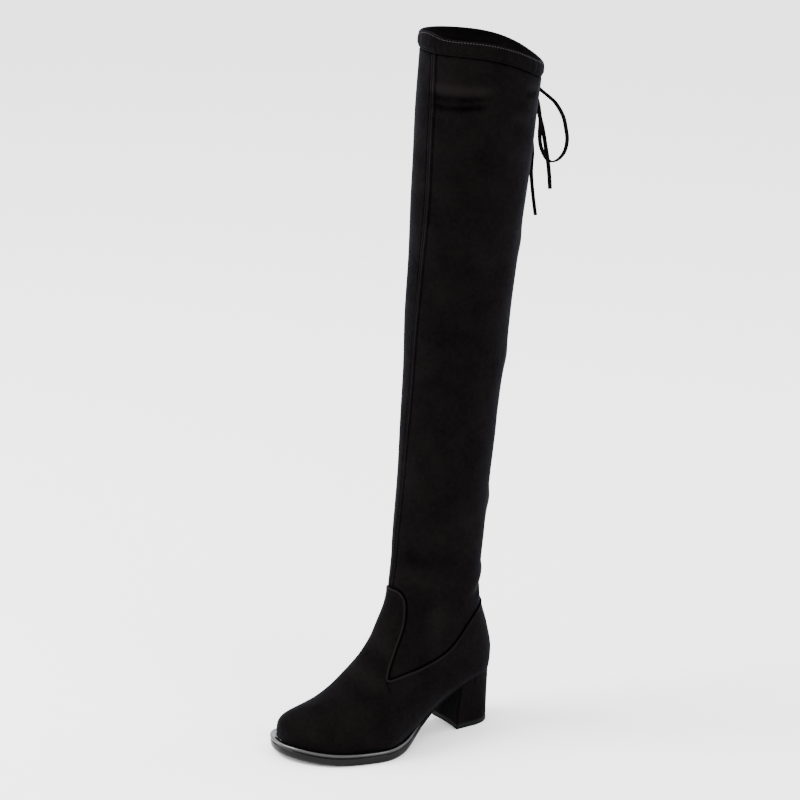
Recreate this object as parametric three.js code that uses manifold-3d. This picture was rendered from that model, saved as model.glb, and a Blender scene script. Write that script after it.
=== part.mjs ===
// A thigh-high pull-on boot in black faux suede, for the left foot. A vamp and counter in one piece meet
// a stretch shaft with a drawstring collar, on a moulded sole with a raised rim and a covered block heel.
// Millimetres, +Z up. The toe points along -Y, and +X is the outer side of the foot.
// The origin is the middle of the heel's tread, on the floor.

import * as THREE from "three";
import { mergeVertices } from "three/addons/utils/BufferGeometryUtils.js";
import Module from "manifold-3d";

const wasm = await Module();
wasm.setup();

// The last
const footLength = 222;
const ballWidth = 80;
const seatWidth = 54;
const instepRise = 130;
const backRise = 100;
const toeSwing = 19;
const toeCapLength = 40;
const toeTipHeight = 12;
const formDepth = 14;

// The sole and heel
const heelHeight = 60;
const toeSpring = 4.5;
const forepartThickness = 11.5;
const shankThickness = 3.2;
const rimReach = 5;
const rimHeight = 2.4;
const grooveDepth = 1.1;
const grooveHeight = 1.3;
const liftThickness = 5;
const treadLength = 43;
const treadWidth = 44;
const seatOverhang = 5;
const breastRake = 3.5;
const breastHollow = 1.2;

// The shaft
const ankleDepth = 92;
const ankleWidth = 68;
const ankleHeight = 172;
const ankleSlant = 20;
const collarDepth = 116;
const collarWidth = 102;
const collarFrontHeight = 687;
const collarBackHeight = 659;
const collarCentreSet = 16;
const collarTurn = 0.3;
const collarWave = 4.5;
const collarDip = 4.1;
const collarRuffle = 1.4;
const casingHeight = 14;

// Walls and clearances
const upperWall = 2.2;
const shaftWall = 1.4;
const overlayStep = 0.8;
const casingWall = 3;
const casingStand = 1.9;
const seamRidge = 0.8;
const seamRidgeWidth = 5;
const insoleThickness = 3;
const touch = 0.3;

// How far a cutting shape goes past what it cuts
const wellPast = 60;
const justPast = 12;

// The drawstring and its bow
const laceWidth = 4;
const laceThickness = 1.6;
const knotWidth = 10.8;
const knotThickness = 7.8;
const knotHeight = 9.2;
const knotStand = 4.6;
const knotDrop = 13;
const slotWidth = 5;
const slotHeight = 7;
const slotDepth = 1.8;
const slotSpacing = 14;

const lerp = (a, b, t) => a + (b - a) * t;
const clamp = (t, low, high) => Math.min(high, Math.max(low, t));

// A smooth curve through rows of [position, value], with no overshoot between them.
function smoothTable(rows) {
  const last = rows.length - 1;
  const rate = (i) => (rows[i + 1][1] - rows[i][1]) / (rows[i + 1][0] - rows[i][0]);
  const slopes = rows.map((row, i) => {
    if (i === 0 || i === last) return 0;
    const before = rate(i - 1);
    const after = rate(i);
    return before * after <= 0 ? 0 : (2 * before * after) / (before + after);
  });
  return (at) => {
    if (at <= rows[0][0]) return rows[0][1];
    if (at >= rows[last][0]) return rows[last][1];
    const i = rows.findIndex((row) => row[0] > at) - 1;
    const span = rows[i + 1][0] - rows[i][0];
    const t = (at - rows[i][0]) / span;
    const rise = rows[i + 1][1] - rows[i][1];
    const a = slopes[i] * span - rise;
    const b = rise - slopes[i + 1] * span;
    return rows[i][1] + rise * t + t * (1 - t) * (a * (1 - t) + b * t);
  };
}

// Places along the foot are shares of its length, from the back of the heel to the toe tip.
const heelBack = treadLength / 2 + seatOverhang;
const yAt = (along) => heelBack - along * footLength;
const alongAt = (y) => (heelBack - y) / footLength;

// The foot bed, where the upper meets the sole: its share of the heel's rise, and of the toe spring.
const heelShare = smoothTable([
  [0.0, 1.0],
  [0.1, 0.94],
  [0.2, 0.81],
  [0.3, 0.6],
  [0.4, 0.34],
  [0.5, 0.12],
  [0.57, 0.02],
  [0.62, 0.0],
]);
const springShare = smoothTable([
  [0.7, 0.0],
  [0.78, 0.07],
  [0.86, 0.28],
  [0.93, 0.6],
  [1.03, 1.15],
]);
function bedHeight(y) {
  const along = alongAt(y);
  const raised = (heelHeight - forepartThickness) * heelShare(along);
  return forepartThickness + raised + toeSpring * springShare(along);
}

// The line of the last, which swings inwards from the heel to the toe.
const swingShare = smoothTable([
  [0.0, 0.0],
  [0.3, -0.01],
  [0.58, -0.1],
  [0.7, 0.0],
  [0.86, 0.45],
  [1.0, 1.0],
]);
const swingAt = (y) => -toeSwing * swingShare(alongAt(y));

// Sections of the foot from the toe to the ankle. Each is a slice from a front point to a back point.
// frontAlong, backAlong: shares of footLength. frontUp: share of instepRise above the bed.
// backUp: share of backRise above the bed. outer, inner: half widths. middle: where the slice is widest,
// as a share of the way from back to front. frontPower, backPower: how full its two ends are.
const section = (frontAlong, frontUp, backAlong, backUp, outer, inner, middle, frontPower, backPower) => ({
  frontAlong, frontUp, backAlong, backUp, outer, inner, middle, frontPower, backPower,
});
const below = -formDepth / backRise;
const footSections = [
  section(1.0, 0.2, 1.0, below, 0.46 * ballWidth, 0.44 * ballWidth, 0.4, 2.1, 2.6),
  section(0.91, 0.24, 0.91, below, 0.48 * ballWidth, 0.45 * ballWidth, 0.4, 2.1, 2.6),
  section(0.83, 0.29, 0.82, below, 0.505 * ballWidth, 0.475 * ballWidth, 0.4, 2.1, 2.6),
  section(0.762, 0.375, 0.72, below, 0.54 * ballWidth, 0.49 * ballWidth, 0.4, 2.1, 2.6),
  section(0.694, 0.49, 0.62, below, 0.575 * ballWidth, 0.475 * ballWidth, 0.4, 2.1, 2.6),
  section(0.626, 0.62, 0.51, below, 0.51 * ballWidth, 0.43 * ballWidth, 0.38, 2.1, 2.7),
  section(0.577, 0.74, 0.4, below, 0.44 * ballWidth, 0.4 * ballWidth, 0.36, 2.1, 2.7),
  section(0.545, 0.845, 0.28, below, 0.61 * seatWidth, 0.6 * seatWidth, 0.38, 2.1, 2.6),
  section(0.519, 0.93, 0.145, below, 0.61 * seatWidth, 0.6 * seatWidth, 0.42, 2.1, 2.5),
  section(0.508, 1.0, 0.036, -0.13, 0.61 * seatWidth, 0.6 * seatWidth, 0.44, 2.1, 2.4),
  section(0.5, 1.06, 0.006, 0.12, 0.61 * seatWidth, 0.6 * seatWidth, 0.46, 2.1, 2.3),
  section(0.492, 1.13, 0.026, 0.4, 0.49 * ankleWidth, 0.48 * ankleWidth, 0.48, 2.1, 2.2),
  section(0.483, 1.21, 0.055, 0.66, 0.49 * ankleWidth, 0.48 * ankleWidth, 0.5, 2.1, 2.1),
];

// Sections of the shaft: height is the share of the way up, growth the share from ankle to collar size.
const shaftSections = [
  [0.0, 0.0],
  [0.12, 0.01],
  [0.24, 0.1],
  [0.35, 0.22],
  [0.46, 0.41],
  [0.556, 0.5],
  [0.63, 0.59],
  [0.72, 0.74],
  [0.85, 0.91],
  [1.0, 1.0],
];
const ankleFront = { y: yAt(0.474), z: ankleHeight + ankleSlant };
const ankleBack = { y: ankleFront.y + ankleDepth, z: ankleHeight - ankleSlant };

// One slice of the boot: its front and back points, half widths and fullness.
function slices() {
  const rows = footSections.map((s) => {
    const frontY = yAt(s.frontAlong);
    const backY = yAt(s.backAlong);
    return {
      ...s,
      front: { y: frontY, z: bedHeight(frontY) + s.frontUp * instepRise },
      back: { y: backY, z: bedHeight(backY) + s.backUp * backRise },
    };
  });
  const ankleCentre = (ankleFront.y + ankleBack.y) / 2;
  for (const [height, growth] of shaftSections) {
    const depth = lerp(ankleDepth, collarDepth, growth);
    const width = lerp(ankleWidth, collarWidth, growth);
    const centre = lerp(ankleCentre, collarCentreSet, height);
    rows.push({
      front: { y: centre - depth / 2, z: lerp(ankleFront.z, collarFrontHeight, height) },
      back: { y: centre + depth / 2, z: lerp(ankleBack.z, collarBackHeight, height) },
      outer: width / 2,
      inner: width / 2,
      middle: 0.5,
      frontPower: 2.1,
      backPower: 2.1,
    });
  }
  return rows;
}
const sliceRows = slices();
const kTop = sliceRows.length - 1;
const kAnkle = footSections.length;

// The slice at any place between two rows, by a Catmull-Rom curve through the rows.
function sliceAt(k) {
  const i = clamp(Math.floor(k), 0, kTop - 1);
  const t = k - i;
  const pick = (read) => {
    const v = [i - 1, i, i + 1, i + 2].map((j) => read(sliceRows[clamp(j, 0, kTop)]));
    if (i === 0) v[0] = 2 * v[1] - v[2];
    if (i === kTop - 1) v[3] = 2 * v[2] - v[1];
    const a = 2 * v[1];
    const b = v[2] - v[0];
    const c = 2 * v[0] - 5 * v[1] + 4 * v[2] - v[3];
    const d = 3 * v[1] - v[0] - 3 * v[2] + v[3];
    return 0.5 * (a + b * t + c * t * t + d * t * t * t);
  };
  const s = {
    front: { y: pick((r) => r.front.y), z: pick((r) => r.front.z) },
    back: { y: pick((r) => r.back.y), z: pick((r) => r.back.z) },
    outer: pick((r) => r.outer),
    inner: pick((r) => r.inner),
    middle: pick((r) => r.middle),
    frontPower: pick((r) => r.frontPower),
    backPower: pick((r) => r.backPower),
  };
  // Towards the tip the slice shrinks as an ellipse does, which rounds the toe.
  const fromTip = (s.front.y - yAt(1)) / toeCapLength;
  if (fromTip < 1) {
    const round = Math.sqrt(Math.max(0, 1 - (1 - fromTip) ** 2));
    const tip = bedHeight(yAt(1)) + toeTipHeight;
    s.front.z = lerp(tip, s.front.z, round ** 0.8);
    s.back.z = lerp(tip, s.back.z, round ** 0.5);
    s.outer *= round;
    s.inner *= round;
  }
  return s;
}

// The collar waves as a worn stretch edge does: highest at the inner back, with a lower crest at the outer
// front.
const waveCrest = 1.13;
const waveDip = 1.5;
const waveShare = smoothTable([
  [-2.5, 0.0],
  [-1.5, 0.15],
  [-0.3, 0.85],
  [0.0, 1.0],
]);

// A point of the bare form. turn runs from 0 at the front, by the outer side, round to 2 pi.
function formPoint(k, turn) {
  const s = sliceAt(k);
  const c = Math.cos(turn);
  const side = Math.sin(turn);
  const power = 2 / (c >= 0 ? s.frontPower : s.backPower);
  const reach = Math.abs(c) ** power;
  const end = c >= 0 ? s.front : s.back;
  const midY = lerp(s.back.y, s.front.y, s.middle);
  const midZ = lerp(s.back.z, s.front.z, s.middle);
  const y = lerp(midY, end.y, reach);
  const z = lerp(midZ, end.z, reach);
  const half = side >= 0 ? s.outer : s.inner;
  const x = swingAt(y) + Math.sign(side) * half * Math.abs(side) ** power;
  const wave = collarWave * Math.cos(2 * (turn - waveCrest)) - collarDip * Math.cos(turn - waveDip);
  const ruffle = collarRuffle * Math.cos(3 * (turn - waveDip));
  return new THREE.Vector3(x, y, z + (wave + ruffle) * waveShare(k - kTop));
}

// The stretch shaft turns a little outwards as it climbs, and its two seams turn with it. The front seam
// swings back near the collar.
const frontSeamTurn = smoothTable([
  [0.0, 0.0],
  [0.26, 0.11],
  [0.5, 0.18],
  [0.76, 0.25],
  [0.89, 0.22],
  [1.0, 0.16],
]);
function seamTurn(k, turn) {
  const share = clamp((k - kAnkle) / (kTop - kAnkle), 0, 1);
  const frontness = (1 + Math.cos(turn)) / 2;
  return lerp(collarTurn * share, frontSeamTurn(share), frontness);
}

// A point that stands out from the form by a distance, at a turn counted from the front seam.
function skin(k, turn, out) {
  const step = 0.02;
  const at = turn + seamTurn(k, turn);
  const kLow = clamp(k - step, step, kTop - 2 * step);
  const around = formPoint(kLow, at + step).sub(formPoint(kLow, at - step));
  const up = formPoint(kLow + 2 * step, at).sub(formPoint(kLow, at));
  const normal = around.cross(up).normalize();
  return formPoint(k, at).addScaledVector(normal, out);
}

function geometryOf(points, faces) {
  const g = new THREE.BufferGeometry();
  g.setAttribute("position", new THREE.Float32BufferAttribute(points.flatMap((p) => [p.x, p.y, p.z]), 3));
  g.setIndex(faces.flat());
  return g;
}

// Turns rings with the same number of points into a closed solid. An end with a pole closes to it. An end
// without one is closed by a strip across the ring, between points of equal rank on its two sides.
function solidOfRings(rings, firstPole, lastPole) {
  const n = rings[0].length;
  const points = rings.flat();
  const faces = [];
  for (let i = 0; i < rings.length - 1; i++)
    for (let j = 0; j < n; j++) {
      const a = i * n + j;
      const b = i * n + ((j + 1) % n);
      faces.push([a, b, a + n], [b, b + n, a + n]);
    }
  const close = (start, pole, flip) => {
    const add = (a, b, c) => faces.push(flip ? [a, b, c] : [c, b, a]);
    if (pole) {
      points.push(pole);
      for (let j = 0; j < n; j++) add(points.length - 1, start + j, start + ((j + 1) % n));
      return;
    }
    for (let j = 0; j < n / 2; j++) {
      const a = start + j;
      const b = start + j + 1;
      const c = start + ((n - j) % n);
      const d = start + ((n - j - 1) % n);
      if (j > 0) add(a, b, c);
      if (j < n / 2 - 1) add(b, d, c);
    }
  };
  close(0, firstPole, false);
  close((rings.length - 1) * n, lastPole, true);
  return geometryOf(points, faces);
}

// Turns rings into a closed hoop, the last ring joined to the first.
function hoopOfRings(rings) {
  const n = rings[0].length;
  const at = (i, j) => (i % rings.length) * n + (j % n);
  const faces = [];
  for (let i = 0; i < rings.length; i++)
    for (let j = 0; j < n; j++)
      faces.push([at(i, j), at(i, j + 1), at(i + 1, j)], [at(i, j + 1), at(i + 1, j + 1), at(i + 1, j)]);
  return geometryOf(rings.flat(), faces);
}

function toSolid(geometry) {
  const bare = new THREE.BufferGeometry();
  bare.setAttribute("position", geometry.getAttribute("position"));
  if (geometry.index) bare.setIndex(geometry.index);
  const g = mergeVertices(bare, 1e-4);
  const positions = new Float32Array(g.attributes.position.array);
  const triangles = new Uint32Array(g.index.array);
  return new wasm.Manifold(new wasm.Mesh({ numProp: 3, vertProperties: positions, triVerts: triangles }));
}

function toGeometry(solid) {
  const m = solid.getMesh();
  const positions = new Float32Array(m.numVert * 3);
  for (let i = 0; i < m.numVert; i++)
    positions.set(m.vertProperties.subarray(i * m.numProp, i * m.numProp + 3), i * 3);
  const g = new THREE.BufferGeometry();
  g.setAttribute("position", new THREE.BufferAttribute(positions, 3));
  g.setIndex(new THREE.BufferAttribute(m.triVerts, 1));
  g.computeVertexNormals();
  return g;
}

// A closed outline in side view, as [y, z] points, pushed through the whole width of the boot.
function sidePrism(outline) {
  const shape = new THREE.Shape(outline.map(([y, z]) => new THREE.Vector2(y, z)));
  const halfWidth = ballWidth;
  const g = new THREE.ExtrudeGeometry(shape, { depth: 2 * halfWidth, bevelEnabled: false });
  g.translate(0, 0, -halfWidth);
  g.applyMatrix4(new THREE.Matrix4().set(0, 0, 1, 0, 1, 0, 0, 0, 0, 1, 0, 0, 0, 0, 0, 1));
  return toSolid(g);
}

// Columns run up the form at even turns, with close ones beside the front and back seams.
const halfColumns = 14;
function columnTurns(k) {
  const s = sliceAt(Math.max(k, 1));
  const radius = (s.outer + s.inner + Math.abs(s.front.y - s.back.y)) / 4;
  const edge = seamRidgeWidth / 2 / radius;
  const even = Array.from({ length: halfColumns - 1 }, (_, j) => ((j + 1) / halfColumns) * Math.PI);
  const half = [0, edge / 2, edge, ...even, Math.PI - edge, Math.PI - edge / 2];
  return [...half, Math.PI, ...half.slice(1).reverse().map((turn) => 2 * Math.PI - turn)];
}

// The front and back seams of the shaft are pressed open: two low ridges with a dip between them.
function seamRise(column, columns) {
  const fromSeam = Math.min(column % (columns / 2), columns / 2 - (column % (columns / 2)));
  return [seamRidge / 2, seamRidge, 0][fromSeam] ?? 0;
}

// The form as a solid that stands out by a distance, from the toe up to kEnd.
const toeRows = [0.02, 0.08, 0.18, 0.33, 0.52, 0.75];
const footRows = Array.from({ length: (kAnkle - 1) * 2 + 1 }, (_, i) => 1 + i / 2);
const shaftRows = Array.from({ length: kTop - kAnkle }, (_, i) => kAnkle + 1 + i);
const formRows = [...toeRows, ...footRows, ...shaftRows];
function formSolid(standOut, kEnd) {
  const rows = [...formRows.filter((k) => k < kEnd - 0.2), kEnd];
  const rings = rows.map((k) => columnTurns(k).map((turn, i, all) => skin(k, turn, standOut(i, all.length))));
  const tip = formPoint(0, 0).add(new THREE.Vector3(0, -standOut(0, 1), 0));
  return toSolid(solidOfRings(rings, tip, null));
}

// The space above the foot bed, raised or lowered by a step, as a side outline.
const bedSteps = 36;
const pastToe = yAt(1) - justPast;
const bedLine = (step) =>
  Array.from({ length: bedSteps + 1 }, (_, i) => {
    const y = lerp(pastToe, heelBack + justPast, i / bedSteps);
    return [y, bedHeight(y) + step];
  });
const aboveBed = (step) =>
  sidePrism([
    ...bedLine(step),
    [heelBack + wellPast, collarFrontHeight + wellPast],
    [pastToe, collarFrontHeight + wellPast],
  ]);

// The edge of the vamp and counter in side view, from the front of the ankle down to the side and up the
// heel. along is a share of footLength, up a share of instepRise above the floor.
const vampEdge = [
  [0.58, 1.19],
  [0.505, 1.197],
  [0.484, 1.179],
  [0.472, 1.115],
  [0.477, 1.02],
  [0.493, 0.925],
  [0.523, 0.82],
  [0.556, 0.72],
  [0.586, 0.64],
  [0.602, 0.588],
];
const counterEdge = [
  [0.594, 0.58],
  [0.517, 0.599],
  [0.441, 0.617],
  [0.355, 0.657],
  [0.286, 0.713],
  [0.235, 0.793],
  [0.19, 0.883],
  [0.135, 0.955],
  [0.05, 0.995],
  [-0.06, 1.005],
];
const sideCurve = (rows, steps) =>
  new THREE.SplineCurve(rows.map(([along, up]) => new THREE.Vector2(yAt(along), up * instepRise)))
    .getPoints(steps)
    .map((p) => [p.x, p.y]);
function shaftRegion(gap) {
  const edge = [...sideCurve(vampEdge, 18), ...sideCurve(counterEdge, 18)];
  const top = collarFrontHeight + wellPast;
  const grown = edge.map(([y, z], i) => {
    const a = edge[Math.max(i - 1, 0)];
    const b = edge[Math.min(i + 1, edge.length - 1)];
    const length = Math.hypot(b[0] - a[0], b[1] - a[1]);
    return [y + ((b[1] - a[1]) / length) * gap, z - ((b[0] - a[0]) / length) * gap];
  });
  const ahead = grown[0][0] - wellPast;
  const behind = grown.at(-1)[0] + wellPast;
  return sidePrism([[ahead, grown[0][1]], ...grown, [behind, grown.at(-1)[1]], [behind, top], [ahead, top]]);
}

function makeUpper() {
  const outside = formSolid(() => overlayStep, kAnkle + 3);
  const inside = formSolid(() => overlayStep - upperWall, kAnkle + 4);
  return outside.subtract(inside).subtract(shaftRegion(touch)).intersect(aboveBed(0));
}

const topRowHeight = (1 - shaftSections.at(-2)[0]) * (collarFrontHeight - ankleFront.z);
const kCasing = kTop - casingHeight / topRowHeight;
// The shaft is a tube from below its seam with the vamp up to the casing.
const kShaftFoot = 4;
function makeShaft() {
  const kEnd = kCasing - touch / topRowHeight;
  const rows = [...formRows.filter((k) => k >= kShaftFoot && k < kEnd - 0.2), kEnd];
  const ringsAt = (standOut) =>
    rows.map((k) => columnTurns(k).map((turn, i, all) => skin(k, turn, standOut(i, all.length))));
  const tube = toSolid(hoopOfRings([...ringsAt(seamRise), ...ringsAt(() => -shaftWall).reverse()]));
  return tube.intersect(shaftRegion(0));
}

// The drawstring casing: a puffed band round the collar, with two slots at the back for the drawstring.
// up is a share of the casing's height. out is how far the band stands from the form.
const casingProfile = [
  { up: 0.0, out: 0.3 },
  { up: 0.07, out: 1.2 },
  { up: 0.3, out: casingStand },
  { up: 0.62, out: casingStand },
  { up: 0.88, out: 1.2 },
  { up: 1.0, out: 0.0 },
  { up: 0.93, out: 1.1 - casingWall },
  { up: 0.6, out: 1.7 - casingWall },
  { up: 0.0, out: -shaftWall },
];
const backSeam = Math.PI;
const kSlot = lerp(kCasing, kTop, 0.42);
function slotPlace(side) {
  const across = (side * slotSpacing) / collarWidth;
  const seat = skin(kSlot, backSeam - across, 0);
  const outward = skin(kSlot, backSeam - across, 1).sub(seat).normalize();
  return { seat, outward };
}
function makeCasing() {
  const ring = ({ up, out }) => {
    const k = lerp(kCasing, kTop, up);
    return columnTurns(k).map((turn) => skin(k, turn, out));
  };
  let casing = toSolid(hoopOfRings(casingProfile.map(ring)));
  for (const side of [1, -1]) {
    const { seat, outward } = slotPlace(side);
    const slot = new THREE.BoxGeometry(slotWidth, slotHeight, 2 * slotDepth);
    const across = new THREE.Vector3(outward.y, -outward.x, 0).normalize();
    slot.applyMatrix4(new THREE.Matrix4().makeBasis(across, outward.clone().cross(across), outward));
    slot.translate(...seat.clone().addScaledVector(outward, casingStand).toArray());
    casing = casing.subtract(toSolid(slot));
  }
  return casing;
}

// The feather line, where the upper meets the bed: from the toe by the outer side to the heel and back.
const featherPoints = 88;
function featherLine() {
  const gap = (k, turn) => {
    const p = skin(k, turn, overlayStep);
    return p.z - bedHeight(p.y);
  };
  const bisect = (low, high, isLow) => {
    for (let i = 0; i < 40; i++) {
      const mid = (low + high) / 2;
      if (isLow(mid)) low = mid;
      else high = mid;
    }
    return (low + high) / 2;
  };
  const kFirst = bisect(0, 1, (k) => gap(k, Math.PI) > 0);
  const kLast = bisect(6, kAnkle, (k) => gap(k, Math.PI) < 0);
  const samples = 200;
  const half = (sign) =>
    Array.from({ length: samples + 1 }, (_, i) => {
      const k = lerp(kFirst, kLast, (1 - Math.cos((i / samples) * Math.PI)) / 2);
      return skin(k, sign * bisect(0, Math.PI, (t) => gap(k, sign * t) > 0), overlayStep);
    });
  const spread = (points) => new THREE.CatmullRomCurve3(points).getSpacedPoints(featherPoints / 2);
  const outer = spread(half(1));
  const inner = spread(half(-1));
  return [...outer, ...inner.slice(1, -1).reverse()];
}
const feather = featherLine();

// Moves a closed line outwards in plan, by a margin that may differ from point to point.
function widen(line, margin) {
  const n = line.length;
  return line.map((p, i) => {
    const a = line[(i + n - 1) % n];
    const b = line[(i + 1) % n];
    const length = Math.hypot(b.x - a.x, b.y - a.y);
    const m = margin(p);
    return new THREE.Vector3(p.x + ((a.y - b.y) / length) * -m, p.y + ((b.x - a.x) / length) * -m, p.z);
  });
}

// The sole: its reach past the feather line as a share of rimReach, and its thickness as a share of the
// way from the shank's thickness to the forepart's.
const reachShare = smoothTable([
  [0.18, -0.1],
  [0.33, -0.1],
  [0.43, 0.0],
  [0.48, 0.35],
  [0.55, 0.95],
  [0.62, 1.0],
  [0.85, 1.0],
  [1.0, 1.3],
]);
const thickShare = smoothTable([
  [0.18, 0.0],
  [0.34, 0.0],
  [0.42, 0.25],
  [0.5, 0.8],
  [0.56, 1.0],
  [1.0, 1.0],
]);
// Each row of the sole's side: out from its widest line, and down from its top. fixed is a length and
// share is a part of the thickness that is left below the groove.
const lipBottom = rimHeight + grooveHeight;
const soleSide = [
  { out: -1.2, fixed: 0.0, share: 0 },
  { out: 0.0, fixed: 0.3, share: 0 },
  { out: 0.0, fixed: rimHeight, share: 0 },
  { out: -grooveDepth, fixed: rimHeight + 0.2, share: 0 },
  { out: -grooveDepth, fixed: lipBottom - 0.2, share: 0 },
  { out: -0.4, fixed: lipBottom, share: 0 },
  { out: -0.3, fixed: lipBottom, share: 0.45 },
  { out: -0.8, fixed: lipBottom, share: 0.86 },
  { out: -2.4, fixed: lipBottom, share: 1 },
];
const breastTopY = -treadLength / 2 + breastRake;
function makeOutsole() {
  const fullThickness = forepartThickness - touch;
  const ring = ({ out, fixed, share }) =>
    widen(feather, (p) => {
      const reach = reachShare(alongAt(p.y));
      return rimReach * reach + out * clamp(reach, 0, 1);
    }).map((p) => {
      const thick = thickShare(alongAt(p.y));
      const top = bedHeight(p.y) - touch;
      const shaped = fixed + share * (fullThickness - lipBottom);
      const plain = (shaped / fullThickness) * shankThickness;
      return new THREE.Vector3(p.x, p.y, top - lerp(plain, shaped, thick));
    });
  const end = breastTopY - 2 * touch;
  const ahead = sidePrism([
    [end, -wellPast],
    [end, heelHeight + wellPast],
    [pastToe, heelHeight + wellPast],
    [pastToe, -wellPast],
  ]);
  return toSolid(solidOfRings(soleSide.map(ring).reverse(), null, null)).intersect(ahead);
}

// The insole lies on the bed inside the upper.
function makeInsole() {
  const room = formSolid(() => overlayStep - upperWall - touch, kAnkle);
  const under = sidePrism([
    ...bedLine(insoleThickness),
    [heelBack + justPast, -wellPast],
    [pastToe, -wellPast],
  ]);
  return room.intersect(aboveBed(0)).intersect(under);
}

// The heel: a flat breast in front and a full round back, from the tread up to the seat.
const heelAround = 28;
const heelCentreY = -treadLength / 2 + 0.45 * treadLength;
function treadOutline() {
  const fullness = 2 / 2.4;
  const back = treadLength / 2 - heelCentreY;
  const arc = Array.from({ length: heelAround + 1 }, (_, i) => {
    const angle = (i / heelAround) * Math.PI;
    const c = Math.cos(angle);
    const x = (treadWidth / 2) * Math.sign(c) * Math.abs(c) ** fullness;
    return [x, heelCentreY + back * Math.sin(angle) ** fullness];
  });
  const breast = -treadLength / 2;
  return [[0, breast + breastHollow], [treadWidth / 2, breast], ...arc, [-treadWidth / 2, breast]];
}
function seatOutline() {
  const inset = 1.2;
  const hit = (angle) => {
    const dir = new THREE.Vector2(Math.cos(angle), Math.sin(angle));
    for (let i = 0; i < feather.length; i++) {
      const a = feather[i];
      const b = feather[(i + 1) % feather.length];
      const ay = a.y - heelCentreY;
      const ex = b.x - a.x;
      const ey = b.y - a.y;
      const cross = dir.x * ey - dir.y * ex;
      const t = (a.x * ey - ay * ex) / cross;
      const u = (a.x * dir.y - ay * dir.x) / cross;
      if (t > 0 && u >= 0 && u <= 1) return [dir.x * (t - inset), heelCentreY + dir.y * (t - inset)];
    }
    return [0, heelCentreY];
  };
  const arc = Array.from({ length: heelAround + 1 }, (_, i) => hit((i / heelAround) * Math.PI));
  const corner = (sign) => [hit(Math.atan2(breastTopY - heelCentreY, (sign * seatWidth) / 2))[0], breastTopY];
  return [[0, breastTopY + breastHollow], corner(1), ...arc, corner(-1)];
}
const tread = treadOutline();
function makeHeelBlock() {
  const seat = seatOutline();
  const levels = [0, 0.2, 0.45, 0.7, 0.88, 1];
  const ring = (level) =>
    tread.map(([x, y], i) => {
      const px = lerp(x, seat[i][0], level ** 1.25);
      const py = lerp(y, seat[i][1], level);
      return new THREE.Vector3(px, py, lerp(liftThickness + touch, bedHeight(py) - touch, level));
    });
  return toSolid(solidOfRings(levels.map(ring), null, null));
}
function makeTopLift() {
  const shape = new THREE.Shape(tread.map(([x, y]) => new THREE.Vector2(x, y)));
  return toSolid(new THREE.ExtrudeGeometry(shape, { depth: liftThickness, bevelEnabled: false }));
}

// The bow behind the collar, in a frame of its own at the knot: across, away from the boot, up.
const seatHere = slotPlace(0);
const bowFacing = seatHere.outward.clone().setZ(0).normalize();
const bowAcross = new THREE.Vector3(bowFacing.y, -bowFacing.x, 0);
const knotCentre = seatHere.seat.clone().addScaledVector(bowFacing, knotStand);
knotCentre.z -= knotDrop;
function atBow([across, away, up]) {
  const p = knotCentre.clone().addScaledVector(bowAcross, across).addScaledVector(bowFacing, away);
  return p.setZ(knotCentre.z + up);
}

// Points chosen by hand in that frame, in order from the knot along each strand.
const strands = {
  drawstring_loop_outer: [
    [3, -0.8, 0.8], [7.4, 0, -1.8], [10, 0.8, -9.2], [13.4, 1.2, -15.6], [19.6, 1.2, -20.6],
    [28.9, 1.2, -25.8], [37.1, 1.2, -31.4], [45.3, 1.2, -42.3], [48.8, 1.2, -53.9], [50.3, 1.2, -64.4],
    [47.7, 1.2, -75.5], [41.4, 1.2, -83.6], [34.4, 1.2, -87.4], [28.6, 1.2, -86.4], [23.6, 1.2, -80.8],
    [20, 1.2, -72.6], [19, 1.2, -61.8], [19.4, 1.2, -49], [16.7, 1.2, -33.6], [11.6, 1.2, -20.8],
    [7, 0.6, -11], [4.8, -0.4, -6.2], [3, -0.8, -2],
  ],
  drawstring_loop_inner: [
    [-3, -0.8, 0.8], [-7.4, 0, -1.6], [-10.6, 0.8, -8.6], [-14.6, 1.2, -14.6], [-21.2, 1.2, -19.4],
    [-30.2, 1.2, -25], [-37.6, 1.2, -32.2], [-43.6, 1.2, -43.6], [-45.4, 1.2, -55.6], [-44.6, 1.2, -67],
    [-40.2, 1.2, -76.8], [-33.4, 1.2, -82], [-27, 1.2, -81.6], [-22, 1.2, -76.4], [-19.2, 1.2, -67.4],
    [-18.6, 1.2, -56], [-18.4, 1.2, -44], [-15.4, 1.2, -30.4], [-11, 1.2, -19], [-7.2, 0.6, -10.6],
    [-5.4, -0.8, -6.2], [-3.6, -1.2, -2],
  ],
  drawstring_end_outer: [
    [1.8, 1.4, -1.5], [2.6, 3.4, -5.2], [4, 4.8, -12], [7, 5, -20.7], [12.2, 5, -31], [15.8, 5, -45.4],
    [19.8, 5, -58], [23, 5, -72.7], [25.6, 5, -85], [27.8, 5, -100], [29.2, 5, -115.2],
  ],
  drawstring_end_inner: [
    [-2, 0.8, -1.5], [-2.2, 2.4, -5.6], [0, 2.9, -12.6], [3.2, 3, -22.8], [5.2, 3, -36.4], [6.5, 3, -51.2],
    [8.6, 3, -66.8], [9.9, 3, -82.5], [8.8, 3, -100.5], [10.7, 3, -120.6], [14.3, 3, -142.7],
  ],
};
const laceSection = [[1, 0], [0.66, 1], [-0.66, 1], [-1, 0], [-0.66, -1], [0.66, -1]];

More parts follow.
